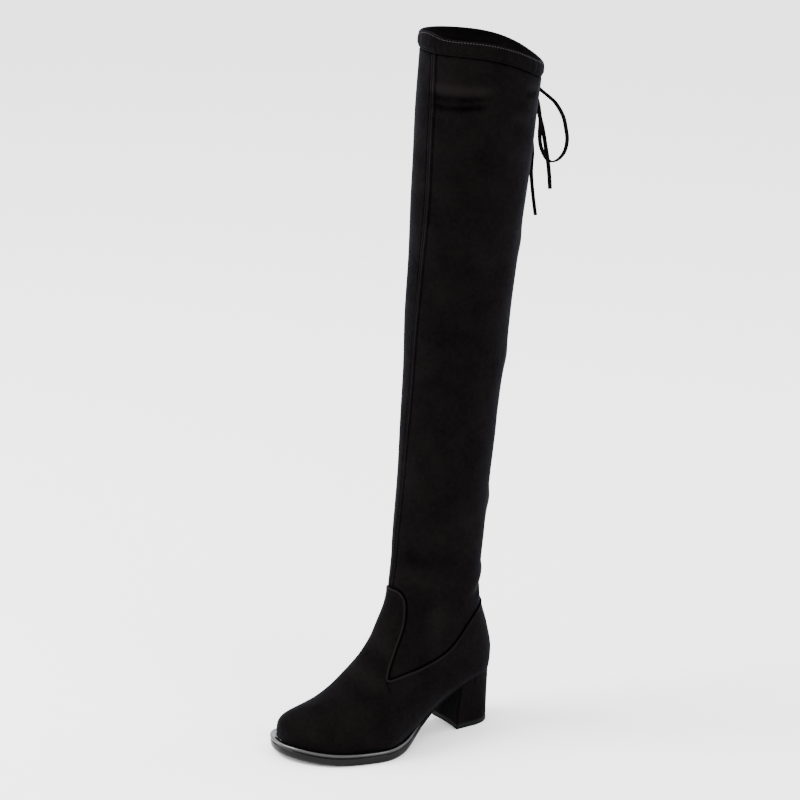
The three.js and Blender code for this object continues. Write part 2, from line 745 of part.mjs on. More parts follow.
// A length of flat lace along a path, with its width turned towards a direction.
function laceAlong(points, steps, widthTowards) {
  const path = new THREE.CatmullRomCurve3(points);
  const rings = Array.from({ length: steps + 1 }, (_, i) => {
    const tangent = path.getTangentAt(i / steps);
    const wide = widthTowards.clone().addScaledVector(tangent, -widthTowards.dot(tangent)).normalize();
    const thin = tangent.cross(wide);
    const centre = path.getPointAt(i / steps);
    return laceSection.map(([w, t]) => {
      const edge = centre.clone().addScaledVector(wide, (w * laceWidth) / 2);
      return edge.addScaledVector(thin, (t * laceThickness) / 2);
    });
  });
  return toSolid(solidOfRings(rings, null, null));
}

// The knot, with its two leads up to the slots.
function knotBody(grow) {
  const knot = new THREE.SphereGeometry(1, 12, 8);
  knot.scale(knotWidth / 2 + grow, knotThickness / 2 + grow, knotHeight / 2 + grow);
  knot.rotateZ(Math.atan2(-bowFacing.x, bowFacing.y));
  knot.translate(...knotCentre.toArray());
  return toSolid(knot);
}
function makeKnot() {
  return [1, -1].reduce((solid, side) => {
    const { seat, outward } = slotPlace(side);
    const mouth = seat.clone().addScaledVector(outward, casingStand - slotDepth / 2);
    const bend = seat.clone().addScaledVector(outward, casingStand + laceThickness);
    bend.z -= slotHeight / 2;
    const lead = [mouth, bend, knotCentre.clone().lerp(bend, 0.4), knotCentre];
    return solid.add(laceAlong(lead, 7, bowAcross));
  }, knotBody(0));
}

// A strand of the bow, trimmed where it comes out of the knot.
function makeStrand(name, points) {
  const isLoop = name.includes("loop");
  const lace = laceAlong(points.map(atBow), isLoop ? 26 : 12, isLoop ? bowFacing : bowAcross);
  return lace.subtract(knotBody(touch));
}

const group = new THREE.Group();
function add(name, color, roughness, solid) {
  const material = new THREE.MeshStandardMaterial({ color, roughness, metalness: 0 });
  const mesh = new THREE.Mesh(toGeometry(solid), material);
  mesh.name = name;
  group.add(mesh);
}
const suede = 0x151316;
add("upper", suede, 0.95, makeUpper());
add("shaft", suede, 0.95, makeShaft());
add("drawstring_casing", suede, 0.95, makeCasing());
const rubber = 0x1b1b1d;
add("outsole", rubber, 0.35, makeOutsole());
add("insole", 0x2a2625, 0.8, makeInsole());
add("heel_block", suede, 0.95, makeHeelBlock());
add("top_lift", 0x2c2c2e, 0.5, makeTopLift());
add("drawstring_knot", suede, 0.9, makeKnot());
for (const [name, points] of Object.entries(strands)) add(name, suede, 0.9, makeStrand(name, points));
export default group;
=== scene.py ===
import math

import bmesh
import bpy
import numpy as np
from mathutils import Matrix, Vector


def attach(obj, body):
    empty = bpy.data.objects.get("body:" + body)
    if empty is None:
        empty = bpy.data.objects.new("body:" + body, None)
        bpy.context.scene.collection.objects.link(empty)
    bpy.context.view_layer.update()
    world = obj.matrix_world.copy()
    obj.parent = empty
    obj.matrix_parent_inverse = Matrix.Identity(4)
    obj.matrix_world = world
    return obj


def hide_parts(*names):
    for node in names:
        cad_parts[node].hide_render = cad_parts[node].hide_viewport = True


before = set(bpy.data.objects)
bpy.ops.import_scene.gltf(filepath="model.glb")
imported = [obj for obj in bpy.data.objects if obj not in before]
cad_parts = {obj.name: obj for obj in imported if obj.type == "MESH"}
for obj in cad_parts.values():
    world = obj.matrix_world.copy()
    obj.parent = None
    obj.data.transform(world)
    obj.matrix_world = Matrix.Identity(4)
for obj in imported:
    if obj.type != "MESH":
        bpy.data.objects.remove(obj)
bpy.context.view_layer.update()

# A thigh-high boot for the left foot, in black faux suede. Metres, +Z up. The toe points along -Y, +X is
# the outer side, and the origin is the middle of the heel's tread.

# The camera stands where the photograph was taken from.
CAMERA_AZIMUTH = math.radians(57.49)
CAMERA_ELEVATION = math.radians(17.76)
CAMERA_DISTANCE = 2.8
CAMERA_TARGET = Vector((0.0, -0.07314, 0.34132))
CAMERA_LENS = 134.2

camera_data = bpy.data.cameras.new("camera")
camera_data.lens = CAMERA_LENS
camera_data.sensor_width = 36
camera = bpy.data.objects.new("camera", camera_data)
bpy.context.scene.collection.objects.link(camera)
look_back = Vector((
    math.sin(CAMERA_AZIMUTH) * math.cos(CAMERA_ELEVATION),
    -math.cos(CAMERA_AZIMUTH) * math.cos(CAMERA_ELEVATION),
    math.sin(CAMERA_ELEVATION),
))
camera.location = CAMERA_TARGET + look_back * CAMERA_DISTANCE
camera.rotation_euler = (-look_back).to_track_quat("-Z", "Y").to_euler()
bpy.context.scene.camera = camera

# The last
FOOT_LENGTH = 0.222
BALL_WIDTH = 0.080
SEAT_WIDTH = 0.054
INSTEP_RISE = 0.130
BACK_RISE = 0.100
TOE_SWING = 0.019
TOE_CAP_LENGTH = 0.040
TOE_TIP_HEIGHT = 0.012
FORM_DEPTH = 0.014

# The sole and heel
HEEL_HEIGHT = 0.060
TOE_SPRING = 0.0045
FOREPART_THICKNESS = 0.0115
SHANK_THICKNESS = 0.0032
RIM_REACH = 0.005
RIM_HEIGHT = 0.0024
GROOVE_DEPTH = 0.0011
GROOVE_HEIGHT = 0.0013
LIFT_THICKNESS = 0.005
TREAD_LENGTH = 0.043
TREAD_WIDTH = 0.044
SEAT_OVERHANG = 0.005
BREAST_RAKE = 0.0035
BREAST_HOLLOW = 0.0012

# The shaft
ANKLE_DEPTH = 0.092
ANKLE_WIDTH = 0.068
ANKLE_HEIGHT = 0.172
ANKLE_SLANT = 0.020
COLLAR_DEPTH = 0.116
COLLAR_WIDTH = 0.102
COLLAR_FRONT_HEIGHT = 0.687
COLLAR_BACK_HEIGHT = 0.659
COLLAR_CENTRE_SET = 0.016
COLLAR_TURN = 0.3
COLLAR_WAVE = 0.0045
COLLAR_DIP = 0.0041
COLLAR_RUFFLE = 0.0014
CASING_HEIGHT = 0.014

# Walls and clearances
UPPER_WALL = 0.0022
SHAFT_WALL = 0.0014
OVERLAY_STEP = 0.0008
CASING_WALL = 0.003
CASING_STAND = 0.0019
SEAM_RIDGE = 0.0008
TOUCH = 0.0003

# The drawstring
LACE_WIDTH = 0.004
LACE_THICKNESS = 0.0016
KNOT_WIDTH = 0.0108
KNOT_THICKNESS = 0.0078
KNOT_HEIGHT = 0.0092
KNOT_STAND = 0.0046
KNOT_DROP = 0.013
SLOT_WIDTH = 0.005
SLOT_HEIGHT = 0.007
SLOT_DEPTH = 0.0018
SLOT_SPACING = 0.014

# Stitches
STITCH_PITCH = 0.0028
STITCH_LENGTH = 0.0021
STITCH_WIDTH = 0.0006


def lerp(a, b, t):
    return a + (b - a) * t


def smoothstep(low, high, value):
    t = np.clip((value - low) / (high - low), 0, 1)
    return t * t * (3 - 2 * t)


def catmull_rom(v, t):
    """The curve from v[1] to v[2], where v[0] and v[3] are the points before and after them."""
    b = v[2] - v[0]
    c = 2 * v[0] - 5 * v[1] + 4 * v[2] - v[3]
    d = 3 * v[1] - v[0] - 3 * v[2] + v[3]
    return 0.5 * (2 * v[1] + b * t + c * t**2 + d * t**3)


def smooth_table(rows):
    """A smooth curve through rows of (position, value), with no overshoot between them."""
    xs, ys = np.array(rows, float).T
    rate = np.diff(ys) / np.diff(xs)
    slopes = np.zeros(len(xs))
    for i in range(1, len(xs) - 1):
        if rate[i - 1] * rate[i] > 0:
            slopes[i] = 2 * rate[i - 1] * rate[i] / (rate[i - 1] + rate[i])

    def value(at):
        at = np.clip(at, xs[0], xs[-1])
        i = np.clip(np.searchsorted(xs, at, side="right") - 1, 0, len(xs) - 2)
        span = xs[i + 1] - xs[i]
        t = (at - xs[i]) / span
        rise = ys[i + 1] - ys[i]
        a = slopes[i] * span - rise
        b = rise - slopes[i + 1] * span
        return ys[i] + rise * t + t * (1 - t) * (a * (1 - t) + b * t)

    return value


HEEL_BACK = TREAD_LENGTH / 2 + SEAT_OVERHANG


def y_at(along):
    return HEEL_BACK - along * FOOT_LENGTH


def along_at(y):
    return (HEEL_BACK - y) / FOOT_LENGTH


heel_share = smooth_table([
    (0.0, 1.0), (0.1, 0.94), (0.2, 0.81), (0.3, 0.6), (0.4, 0.34), (0.5, 0.12), (0.57, 0.02), (0.62, 0.0),
])
spring_share = smooth_table([(0.7, 0.0), (0.78, 0.07), (0.86, 0.28), (0.93, 0.6), (1.03, 1.15)])
swing_share = smooth_table([(0.0, 0.0), (0.3, -0.01), (0.58, -0.1), (0.7, 0.0), (0.86, 0.45), (1.0, 1.0)])


def bed_height(y):
    along = along_at(y)
    raised = (HEEL_HEIGHT - FOREPART_THICKNESS) * heel_share(along)
    return FOREPART_THICKNESS + raised + TOE_SPRING * spring_share(along)


def swing_at(y):
    return -TOE_SWING * swing_share(along_at(y))


# Sections of the foot: front along and up, back along and up, outer and inner half widths, the share of
# the way where the slice is widest, and how full its front and back are.
BELOW = -FORM_DEPTH / BACK_RISE
FOOT_SECTIONS = [
    (1.0, 0.2, 1.0, BELOW, 0.46 * BALL_WIDTH, 0.44 * BALL_WIDTH, 0.4, 2.1, 2.6),
    (0.91, 0.24, 0.91, BELOW, 0.48 * BALL_WIDTH, 0.45 * BALL_WIDTH, 0.4, 2.1, 2.6),
    (0.83, 0.29, 0.82, BELOW, 0.505 * BALL_WIDTH, 0.475 * BALL_WIDTH, 0.4, 2.1, 2.6),
    (0.762, 0.375, 0.72, BELOW, 0.54 * BALL_WIDTH, 0.49 * BALL_WIDTH, 0.4, 2.1, 2.6),
    (0.694, 0.49, 0.62, BELOW, 0.575 * BALL_WIDTH, 0.475 * BALL_WIDTH, 0.4, 2.1, 2.6),
    (0.626, 0.62, 0.51, BELOW, 0.51 * BALL_WIDTH, 0.43 * BALL_WIDTH, 0.38, 2.1, 2.7),
    (0.577, 0.74, 0.4, BELOW, 0.44 * BALL_WIDTH, 0.4 * BALL_WIDTH, 0.36, 2.1, 2.7),
    (0.545, 0.845, 0.28, BELOW, 0.61 * SEAT_WIDTH, 0.6 * SEAT_WIDTH, 0.38, 2.1, 2.6),
    (0.519, 0.93, 0.145, BELOW, 0.61 * SEAT_WIDTH, 0.6 * SEAT_WIDTH, 0.42, 2.1, 2.5),
    (0.508, 1.0, 0.036, -0.13, 0.61 * SEAT_WIDTH, 0.6 * SEAT_WIDTH, 0.44, 2.1, 2.4),
    (0.5, 1.06, 0.006, 0.12, 0.61 * SEAT_WIDTH, 0.6 * SEAT_WIDTH, 0.46, 2.1, 2.3),
    (0.492, 1.13, 0.026, 0.4, 0.49 * ANKLE_WIDTH, 0.48 * ANKLE_WIDTH, 0.48, 2.1, 2.2),
    (0.483, 1.21, 0.055, 0.66, 0.49 * ANKLE_WIDTH, 0.48 * ANKLE_WIDTH, 0.5, 2.1, 2.1),
]
# Sections of the shaft: the share of the way up, and of the way from ankle to collar size.
SHAFT_SECTIONS = [
    (0.0, 0.0), (0.12, 0.01), (0.24, 0.1), (0.35, 0.22), (0.46, 0.41),
    (0.556, 0.5), (0.63, 0.59), (0.72, 0.74), (0.85, 0.91), (1.0, 1.0),
]
K_ANKLE = len(FOOT_SECTIONS)
K_TOP = K_ANKLE + len(SHAFT_SECTIONS) - 1
ANKLE_FRONT_Y = y_at(0.474)
ANKLE_FRONT_Z = ANKLE_HEIGHT + ANKLE_SLANT
ANKLE_BACK_Z = ANKLE_HEIGHT - ANKLE_SLANT


def slice_rows():
    """front y, front z, back y, back z, outer, inner, middle, front power, back power of each slice."""
    rows = []
    for front_along, front_up, back_along, back_up, *shape in FOOT_SECTIONS:
        front_y, back_y = y_at(front_along), y_at(back_along)
        front_z = bed_height(front_y) + front_up * INSTEP_RISE
        rows.append((front_y, front_z, back_y, bed_height(back_y) + back_up * BACK_RISE, *shape))
    ankle_centre = ANKLE_FRONT_Y + ANKLE_DEPTH / 2
    for height, growth in SHAFT_SECTIONS:
        depth = lerp(ANKLE_DEPTH, COLLAR_DEPTH, growth)
        half = lerp(ANKLE_WIDTH, COLLAR_WIDTH, growth) / 2
        centre = lerp(ankle_centre, COLLAR_CENTRE_SET, height)
        front_z = lerp(ANKLE_FRONT_Z, COLLAR_FRONT_HEIGHT, height)
        back_z = lerp(ANKLE_BACK_Z, COLLAR_BACK_HEIGHT, height)
        rows.append((centre - depth / 2, front_z, centre + depth / 2, back_z, half, half, 0.5, 2.1, 2.1))
    return np.array(rows, float)


ROWS = slice_rows()
PADDED = np.vstack([2 * ROWS[0] - ROWS[1], ROWS, 2 * ROWS[-1] - ROWS[-2]])
wave_share = smooth_table([(-2.5, 0.0), (-1.5, 0.15), (-0.3, 0.85), (0.0, 1.0)])
WAVE_CREST = 1.13
WAVE_DIP = 1.5


def slice_at(k):
    """The slice at any place between two rows, by a Catmull-Rom curve, and rounded towards the toe."""
    i = np.clip(np.floor(k), 0, K_TOP - 1).astype(int)
    t = (k - i)[..., None]
    s = np.moveaxis(catmull_rom([PADDED[i + j] for j in range(4)], t), -1, 0).copy()
    from_tip = np.clip((s[0] - y_at(1)) / TOE_CAP_LENGTH, 0, 1)
    cap = np.sqrt(np.maximum(0, 1 - (1 - from_tip) ** 2))
    tip = bed_height(y_at(1)) + TOE_TIP_HEIGHT
    s[1] = lerp(tip, s[1], cap**0.8)
    s[3] = lerp(tip, s[3], cap**0.5)
    s[4] *= cap
    s[5] *= cap
    return s


def form_point(k, turn):
    """A point of the bare form. turn runs from 0 at the front, by the outer side, round to 2 pi."""
    k, turn = np.broadcast_arrays(np.asarray(k, float), np.asarray(turn, float))
    front_y, front_z, back_y, back_z, outer, inner, middle, front_power, back_power = slice_at(k)
    c, side = np.cos(turn), np.sin(turn)
    power = 2 / np.where(c >= 0, front_power, back_power)
    reach = np.abs(c) ** power
    y = lerp(lerp(back_y, front_y, middle), np.where(c >= 0, front_y, back_y), reach)
    z = lerp(lerp(back_z, front_z, middle), np.where(c >= 0, front_z, back_z), reach)
    half = np.where(side >= 0, outer, inner)
    x = swing_at(y) + np.sign(side) * half * np.abs(side) ** power
    wave = COLLAR_WAVE * np.cos(2 * (turn - WAVE_CREST)) - COLLAR_DIP * np.cos(turn - WAVE_DIP)
    ruffle = COLLAR_RUFFLE * np.cos(3 * (turn - WAVE_DIP))
    return np.stack([x, y, z + (wave + ruffle) * wave_share(k - K_TOP)], -1)


front_seam_turn = smooth_table([
    (0.0, 0.0), (0.26, 0.11), (0.5, 0.18), (0.76, 0.25), (0.89, 0.22), (1.0, 0.16),
])


def seamed(k, turn):
    """The form's turn at a turn counted from the front seam."""
    share = np.clip((k - K_ANKLE) / (K_TOP - K_ANKLE), 0, 1)
    return turn + lerp(COLLAR_TURN * share, front_seam_turn(share), (1 + np.cos(turn)) / 2)


def base_and_normal(k, turn):
    """A point of the form at a turn counted from the front seam, and the way out from it."""
    k, turn = np.broadcast_arrays(np.asarray(k, float), np.asarray(turn, float))
    step = 0.02
    at = seamed(k, turn)
    low = np.clip(k - step, step, K_TOP - 2 * step)
    around = form_point(low, at + step) - form_point(low, at - step)
    up = form_point(low + 2 * step, at) - form_point(low, at)
    normal = np.cross(around, up)
    normal /= np.linalg.norm(normal, axis=-1, keepdims=True)
    return form_point(k, at), normal


def skin(k, turn, out):
    base, normal = base_and_normal(k, turn)
    return base + normal * np.asarray(out)[..., None]


# The edge of the vamp and counter in side view: shares of the foot's length along, and of the instep up.
VAMP_EDGE = [
    (0.58, 1.19), (0.505, 1.197), (0.484, 1.179), (0.472, 1.115), (0.477, 1.02),
    (0.493, 0.925), (0.523, 0.82), (0.556, 0.72), (0.586, 0.64), (0.602, 0.588),
]
COUNTER_EDGE = [
    (0.594, 0.58), (0.517, 0.599), (0.441, 0.617), (0.355, 0.657), (0.286, 0.713),
    (0.235, 0.793), (0.19, 0.883), (0.135, 0.955), (0.05, 0.995), (-0.06, 1.005),
]


EDGE_SAMPLES = 90


def spline(points, count):
    """A Catmull-Rom curve through points, at even steps of its parameter."""
    p = np.array(points, float)
    padded = np.vstack([p[0], p, p[-1]])
    at = np.linspace(0, len(p) - 1, count)
    i = np.minimum(at.astype(int), len(p) - 2)
    t = (at - i)[:, None]
    return catmull_rom([padded[i + j] for j in range(4)], t)


def side_outline():
    """The region of the shaft in side view, as (y, z) points."""
    edge = [(y_at(along), up * INSTEP_RISE) for rows in (VAMP_EDGE, COUNTER_EDGE) for along, up in rows]
    split = len(VAMP_EDGE)
    line = np.vstack([spline(edge[:split], EDGE_SAMPLES), spline(edge[split:], EDGE_SAMPLES)])
    far = 0.06
    top = COLLAR_FRONT_HEIGHT + far
    start = [(line[0, 0] - far, top), (line[0, 0] - far, line[0, 1])]
    end = [(line[-1, 0] + far, line[-1, 1]), (line[-1, 0] + far, top)]
    return np.vstack([start, line, end])


SHAFT_OUTLINE = side_outline()


def inside_outline(points):
    """Whether each point lies in the shaft's region in side view."""
    y, z = points[..., 1], points[..., 2]
    inside = np.zeros(y.shape, bool)
    for (y0, z0), (y1, z1) in zip(SHAFT_OUTLINE, np.roll(SHAFT_OUTLINE, -1, axis=0)):
        if z0 == z1:
            continue
        crosses = (z0 > z) != (z1 > z)
        inside ^= crosses & (y < y0 + (z - z0) * (y1 - y0) / (z1 - z0))
    return inside


def seam_k(turn_of_k, count):
    """For each column, the k where it crosses from the upper to the shaft, searched from above."""
    ks = np.linspace(2, K_ANKLE + 2, 440)
    points = np.stack([form_point(k, seamed(k, turn_of_k(np.full(count, k)))) for k in ks])
    inside = inside_outline(points)
    last = len(ks) - 1 - np.argmax(~inside[::-1], axis=0)
    low = ks[last]
    high = ks[np.minimum(last + 1, len(ks) - 1)]
    for _ in range(24):
        mid = (low + high) / 2
        within = inside_outline(form_point(mid, seamed(mid, turn_of_k(mid))))
        high = np.where(within, mid, high)
        low = np.where(within, low, mid)
    return high


def distance_to_line(points, line, closed=False):
    """The distance from each point to a line of points, and the share of the line where it is nearest."""
    flat = points.reshape(-1, 3)
    best = np.full(len(flat), np.inf)
    where = np.zeros(len(flat))
    ends = np.roll(line, -1, axis=0) if closed else line[1:]
    starts = line if closed else line[:-1]
    for i, (a, b) in enumerate(zip(starts, ends)):
        ab = b - a
        t = np.clip(((flat - a) @ ab) / max(float(ab @ ab), 1e-12), 0, 1)
        d = np.linalg.norm(flat - a - t[:, None] * ab, axis=1)
        near = d < best
        best[near] = d[near]
        where[near] = (i + t[near]) / len(starts)
    return best.reshape(points.shape[:-1]), where.reshape(points.shape[:-1])


# Folds: how wide each is, how high, and a line of points near the surface. A negative height
# is a trough. They fade out towards both ends.
FOLDS = [
    # Below the collar, on the outer side and behind
    (0.003, -0.0007, [
        (0.006, -0.047, 0.632), (0.0167, -0.0443, 0.630), (0.031, -0.036, 0.6295),
        (0.041, -0.025, 0.6295), (0.0454, -0.0139, 0.630), (0.0485, 0.002, 0.629),
    ]),
    (0.005, 0.0009, [
        (0.004, -0.047, 0.640), (0.0167, -0.0440, 0.639), (0.033, -0.035, 0.638),
        (0.045, -0.0139, 0.637), (0.0495, 0.006, 0.636),
    ]),
    (0.003, -0.0008, [
        (0.009, -0.0465, 0.6220), (0.0171, -0.0446, 0.6215), (0.032, -0.036, 0.621),
        (0.0451, -0.0151, 0.622), (0.0472, -0.006, 0.6225),
    ]),
    (0.007, 0.0005, [
        (0.047, 0.012, 0.612), (0.0495, 0.028, 0.606), (0.045, 0.044, 0.603),
    ]),
    (0.0035, 0.0013, [
        (0.0465, 0.03, 0.637), (0.036, 0.05, 0.6335), (0.02, 0.062, 0.631),
    ]),
    (0.0034, -0.0008, [
        (0.047, 0.03, 0.6295), (0.037, 0.049, 0.626), (0.02, 0.061, 0.624),
    ]),
    # Behind the knee
    (0.011, 0.0011, [
        (0.004, 0.057, 0.47), (0.018, 0.05, 0.482), (0.034, 0.036, 0.488),
    ]),
    (0.012, 0.0012, [
        (0.0, 0.046, 0.36), (0.02, 0.038, 0.372), (0.034, 0.022, 0.376),
    ]),
    (0.009, -0.0006, [
        (-0.012, 0.036, 0.322), (0.006, 0.036, 0.318), (0.024, 0.028, 0.322),
    ]),
    # Behind the calf and the ankle
    (0.009, 0.0017, [
        (-0.014, 0.022, 0.232), (0.002, 0.0235, 0.228), (0.018, 0.018, 0.232), (0.03, 0.004, 0.242),
    ]),
    (0.007, -0.0008, [
        (-0.012, 0.019, 0.212), (0.004, 0.02, 0.207), (0.02, 0.013, 0.211),
    ]),
    (0.0045, 0.0016, [
        (-0.014, 0.012, 0.172), (0.0, 0.0155, 0.166), (0.014, 0.012, 0.162), (0.026, 0.0, 0.152),
        (0.03, -0.018, 0.138),
    ]),
    (0.004, -0.001, [
        (-0.01, 0.013, 0.160), (0.006, 0.0165, 0.155), (0.018, 0.008, 0.147), (0.028, -0.008, 0.134),
    ]),
    # In front of the ankle
    (0.009, -0.0003, [
        (0.012, -0.083, 0.196), (0.022, -0.07, 0.186), (0.032, -0.045, 0.184),
    ]),
    (0.009, 0.0003, [
        (0.008, -0.084, 0.178), (0.024, -0.07, 0.168), (0.033, -0.044, 0.162),
    ]),
    (0.01, 0.0004, [
        (0.03, -0.056, 0.14), (0.034, -0.05, 0.118), (0.036, -0.06, 0.096),
    ]),
    # On the inner side
    (0.009, -0.0005, [
        (-0.012, -0.083, 0.19), (-0.024, -0.068, 0.18), (-0.032, -0.045, 0.176),
    ]),
    (0.007, 0.0008, [
        (-0.03, 0.012, 0.2), (-0.024, 0.018, 0.19), (-0.012, 0.022, 0.186),
    ]),
    (0.004, -0.0006, [
        (-0.046, -0.014, 0.628), (-0.05, 0.008, 0.624), (-0.047, 0.03, 0.620),
    ]),
    (0.005, 0.0006, [
        (-0.045, -0.016, 0.636), (-0.05, 0.008, 0.632), (-0.047, 0.032, 0.628),
    ]),
    (0.012, 0.0006, [
        (-0.04, -0.03, 0.40), (-0.043, -0.008, 0.41), (-0.04, 0.02, 0.406),
    ]),
    # Where the vamp bends
    (0.006, -0.0002, [
        (-0.014, -0.113, 0.093), (0.004, -0.113, 0.0945), (0.022, -0.109, 0.089),
        (0.032, -0.104, 0.078),
    ]),
    (0.007, 0.00022, [
        (-0.016, -0.104, 0.105), (0.002, -0.104, 0.107), (0.02, -0.1, 0.102), (0.028, -0.096, 0.094),
    ]),
    (0.007, 0.00026, [
        (-0.016, -0.124, 0.082), (0.002, -0.125, 0.083), (0.022, -0.12, 0.078), (0.035, -0.113, 0.066),
    ]),
    (0.007, -0.00024, [
        (-0.02, -0.138, 0.069), (0.0, -0.140, 0.071), (0.024, -0.135, 0.066), (0.038, -0.126, 0.054),
    ]),
    # At the overlay's corner
    (0.0011, -0.0007, [
        (0.030, -0.1078, 0.079), (0.0315, -0.1082, 0.0761), (0.0346, -0.1087, 0.0712),
        (0.0374, -0.1083, 0.0663), (0.0395, -0.1075, 0.061),
    ]),
]
FADED_SHARE = 0.3
SAMPLES_PER_POINT = 8
# The fold height that gives full painted shade in a trough and full painted highlight on a crest.
FOLD_SHADE = 0.0016
SLOW_HEIGHT = 0.00035


def folds_at(points):
    """How far the folds lift the surface at each point."""
    lift = np.zeros(points.shape[:-1])
    for width, height, line in FOLDS:
        smooth = spline(line, SAMPLES_PER_POINT * len(line))
        reach = 3 * width
        close = ((points > smooth.min(axis=0) - reach) & (points < smooth.max(axis=0) + reach)).all(axis=-1)
        if not close.any():
            continue
        near, share = distance_to_line(points[close], smooth)
        ends = smoothstep(0, FADED_SHARE, share) * smoothstep(0, FADED_SHARE, 1 - share)
        lift[close] += height * np.exp(-((near / width) ** 2)) * ends
    return lift


def relief(points):
    """The folds with the cloth's slow unevenness."""
    x, y, z = np.moveaxis(points, -1, 0)
    slow = np.sin(41 * z + 2.1 * np.sin(33 * y) + 3 * x / 0.05) * np.sin(23 * z + 31 * y)
    return folds_at(points) + SLOW_HEIGHT * slow


def grid_faces(rows, columns, closed, start=0):
    """Quads of a grid of points. Where it is closed, the last column joins the first."""
    i = np.arange(rows - 1)[:, None]
    j = np.arange(columns if closed else columns - 1)[None, :]
    a = start + i * columns + j
    b = start + i * columns + (j + 1) % columns
    return np.stack([a, b, b + columns, a + columns], -1).reshape(-1, 4)


def tube_faces(rows, columns):
    """Quads of a grid that is closed both ways, as a hollow wall is."""
    last = (rows - 1) * columns
    faces = grid_faces(rows, columns, True).tolist()
    return faces + [[last + j, last + (j + 1) % columns, (j + 1) % columns, j] for j in range(columns)]


def drop_loose(mesh):
    """Takes out the points that no face uses."""
    used = np.zeros(len(mesh.vertices), bool)
    corners = np.empty(len(mesh.loops), np.int32)
    mesh.loops.foreach_get("vertex_index", corners)
    used[corners] = True
    if used.all():
        return
    work = bmesh.new()
    work.from_mesh(mesh)
    bmesh.ops.delete(work, geom=[v for v in work.verts if not used[v.index]], context="VERTS")
    work.to_mesh(mesh)
    work.free()


def add_mesh(name, points, faces, material, folds=None, smooth=True):
    mesh = bpy.data.meshes.new(name)
    mesh.from_pydata(np.asarray(points).reshape(-1, 3).tolist(), [], [list(map(int, f)) for f in faces])
    mesh.validate()
    # The fold values go to a point attribute that the materials read: painted shade and highlight on the
    # suede, and on the sole its polish with a painted highlight and painted shade.
    if folds is not None:
        layer = mesh.attributes.new("painted_light_and_polish", "FLOAT", "POINT")
        layer.data.foreach_set("value", np.clip(folds, -1, 1).reshape(-1).astype(np.float32))
    drop_loose(mesh)
    if smooth:
        mesh.shade_smooth()
    mesh.materials.append(material)
    piece = bpy.data.objects.new(name, mesh)
    bpy.context.scene.collection.objects.link(piece)
    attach(piece, "root")
    return piece


def loft(rings, first_cap=None, last_cap=None):
    """Points and faces through rings of the same count. A cap is a point, or "fan" for the ring's middle."""
    rings = np.asarray(rings)
    rows, columns = rings.shape[:2]
    points = rings.reshape(-1, 3)
    faces = grid_faces(rows, columns, True).tolist()
    caps = ((first_cap, rings[0], 0, True), (last_cap, rings[-1], (rows - 1) * columns, False))
    for cap, ring, start, flip in caps:
        if cap is None:
            continue
        centre = ring.mean(axis=0) if isinstance(cap, str) else cap
        points = np.vstack([points, centre])
        for j in range(columns):
            a, b = start + j, start + (j + 1) % columns
            faces.append([len(points) - 1, b, a] if flip else [len(points) - 1, a, b])
    return points, faces


# Materials
def noise(nodes, links, coords, scale, detail=3.0, roughness=0.55):
    n = nodes.new("ShaderNodeTexNoise")
    n.inputs["Scale"].default_value = scale
    n.inputs["Detail"].default_value = detail
    n.inputs["Roughness"].default_value = roughness
    links.new(coords, n.inputs["Vector"])
    return n


def ramp(nodes, links, value, low, high, from_low=0.35, from_high=0.65):
    m = nodes.new("ShaderNodeMapRange")
    m.inputs["From Min"].default_value = from_low
    m.inputs["From Max"].default_value = from_high
    m.inputs["To Min"].default_value = low
    m.inputs["To Max"].default_value = high
    links.new(value, m.inputs["Value"])
    return m.outputs["Result"]


NAP_FINE = 1500
NAP_SOFT = 260
NAP_PATCH = 26
GRAIN_CLOUDY = 60
GRAIN_FINE = 900
# How strongly the folds' painted shade and highlight show in the suede's colour.
FOLD_CONTRAST = 0.75


def make_nap_group():
    """The brushed pile of suede: how light it lies from patch to patch, and its fine roughness."""
    group = bpy.data.node_groups.new("suede_nap", "ShaderNodeTree")
    group.interface.new_socket("Scale", in_out="INPUT", socket_type="NodeSocketFloat").default_value = 1
    group.interface.new_socket("Patch", in_out="OUTPUT", socket_type="NodeSocketFloat")
    group.interface.new_socket("Normal", in_out="OUTPUT", socket_type="NodeSocketVector")
    nodes, links = group.nodes, group.links
    out = nodes.new("NodeGroupOutput")
    scaled = nodes.new("ShaderNodeVectorMath")
    scaled.operation = "SCALE"
    links.new(nodes.new("ShaderNodeTexCoord").outputs["Object"], scaled.inputs[0])
    links.new(nodes.new("NodeGroupInput").outputs["Scale"], scaled.inputs["Scale"])
    coords = scaled.outputs[0]
    patch = noise(nodes, links, coords, NAP_PATCH, 4, 0.62)
    soft = noise(nodes, links, coords, NAP_SOFT, 3)
    mix = nodes.new("ShaderNodeMath")
    mix.operation = "MULTIPLY_ADD"
    links.new(soft.outputs["Fac"], mix.inputs[0])
    mix.inputs[1].default_value = 0.6
    links.new(patch.outputs["Fac"], mix.inputs[2])
    links.new(ramp(nodes, links, mix.outputs[0], 0, 1, 0.55, 1.05), out.inputs["Patch"])
    fine = noise(nodes, links, coords, NAP_FINE, 2)
    bump = nodes.new("ShaderNodeBump")
    bump.inputs["Strength"].default_value = 0.35
    bump.inputs["Distance"].default_value = 0.0004
    links.new(fine.outputs["Fac"], bump.inputs["Height"])
    wide = nodes.new("ShaderNodeBump")
    wide.inputs["Strength"].default_value = 0.25
    wide.inputs["Distance"].default_value = 0.0008
    links.new(soft.outputs["Fac"], wide.inputs["Height"])
    links.new(bump.outputs["Normal"], wide.inputs["Normal"])
    links.new(wide.outputs["Normal"], out.inputs["Normal"])
    return group


NAP = make_nap_group()


def new_material(name, roughness):
    material = bpy.data.materials.new(name)
    material.use_nodes = True
    shader = material.node_tree.nodes["Principled BSDF"]
    shader.inputs["Roughness"].default_value = roughness
    return material, material.node_tree.nodes, material.node_tree.links, shader


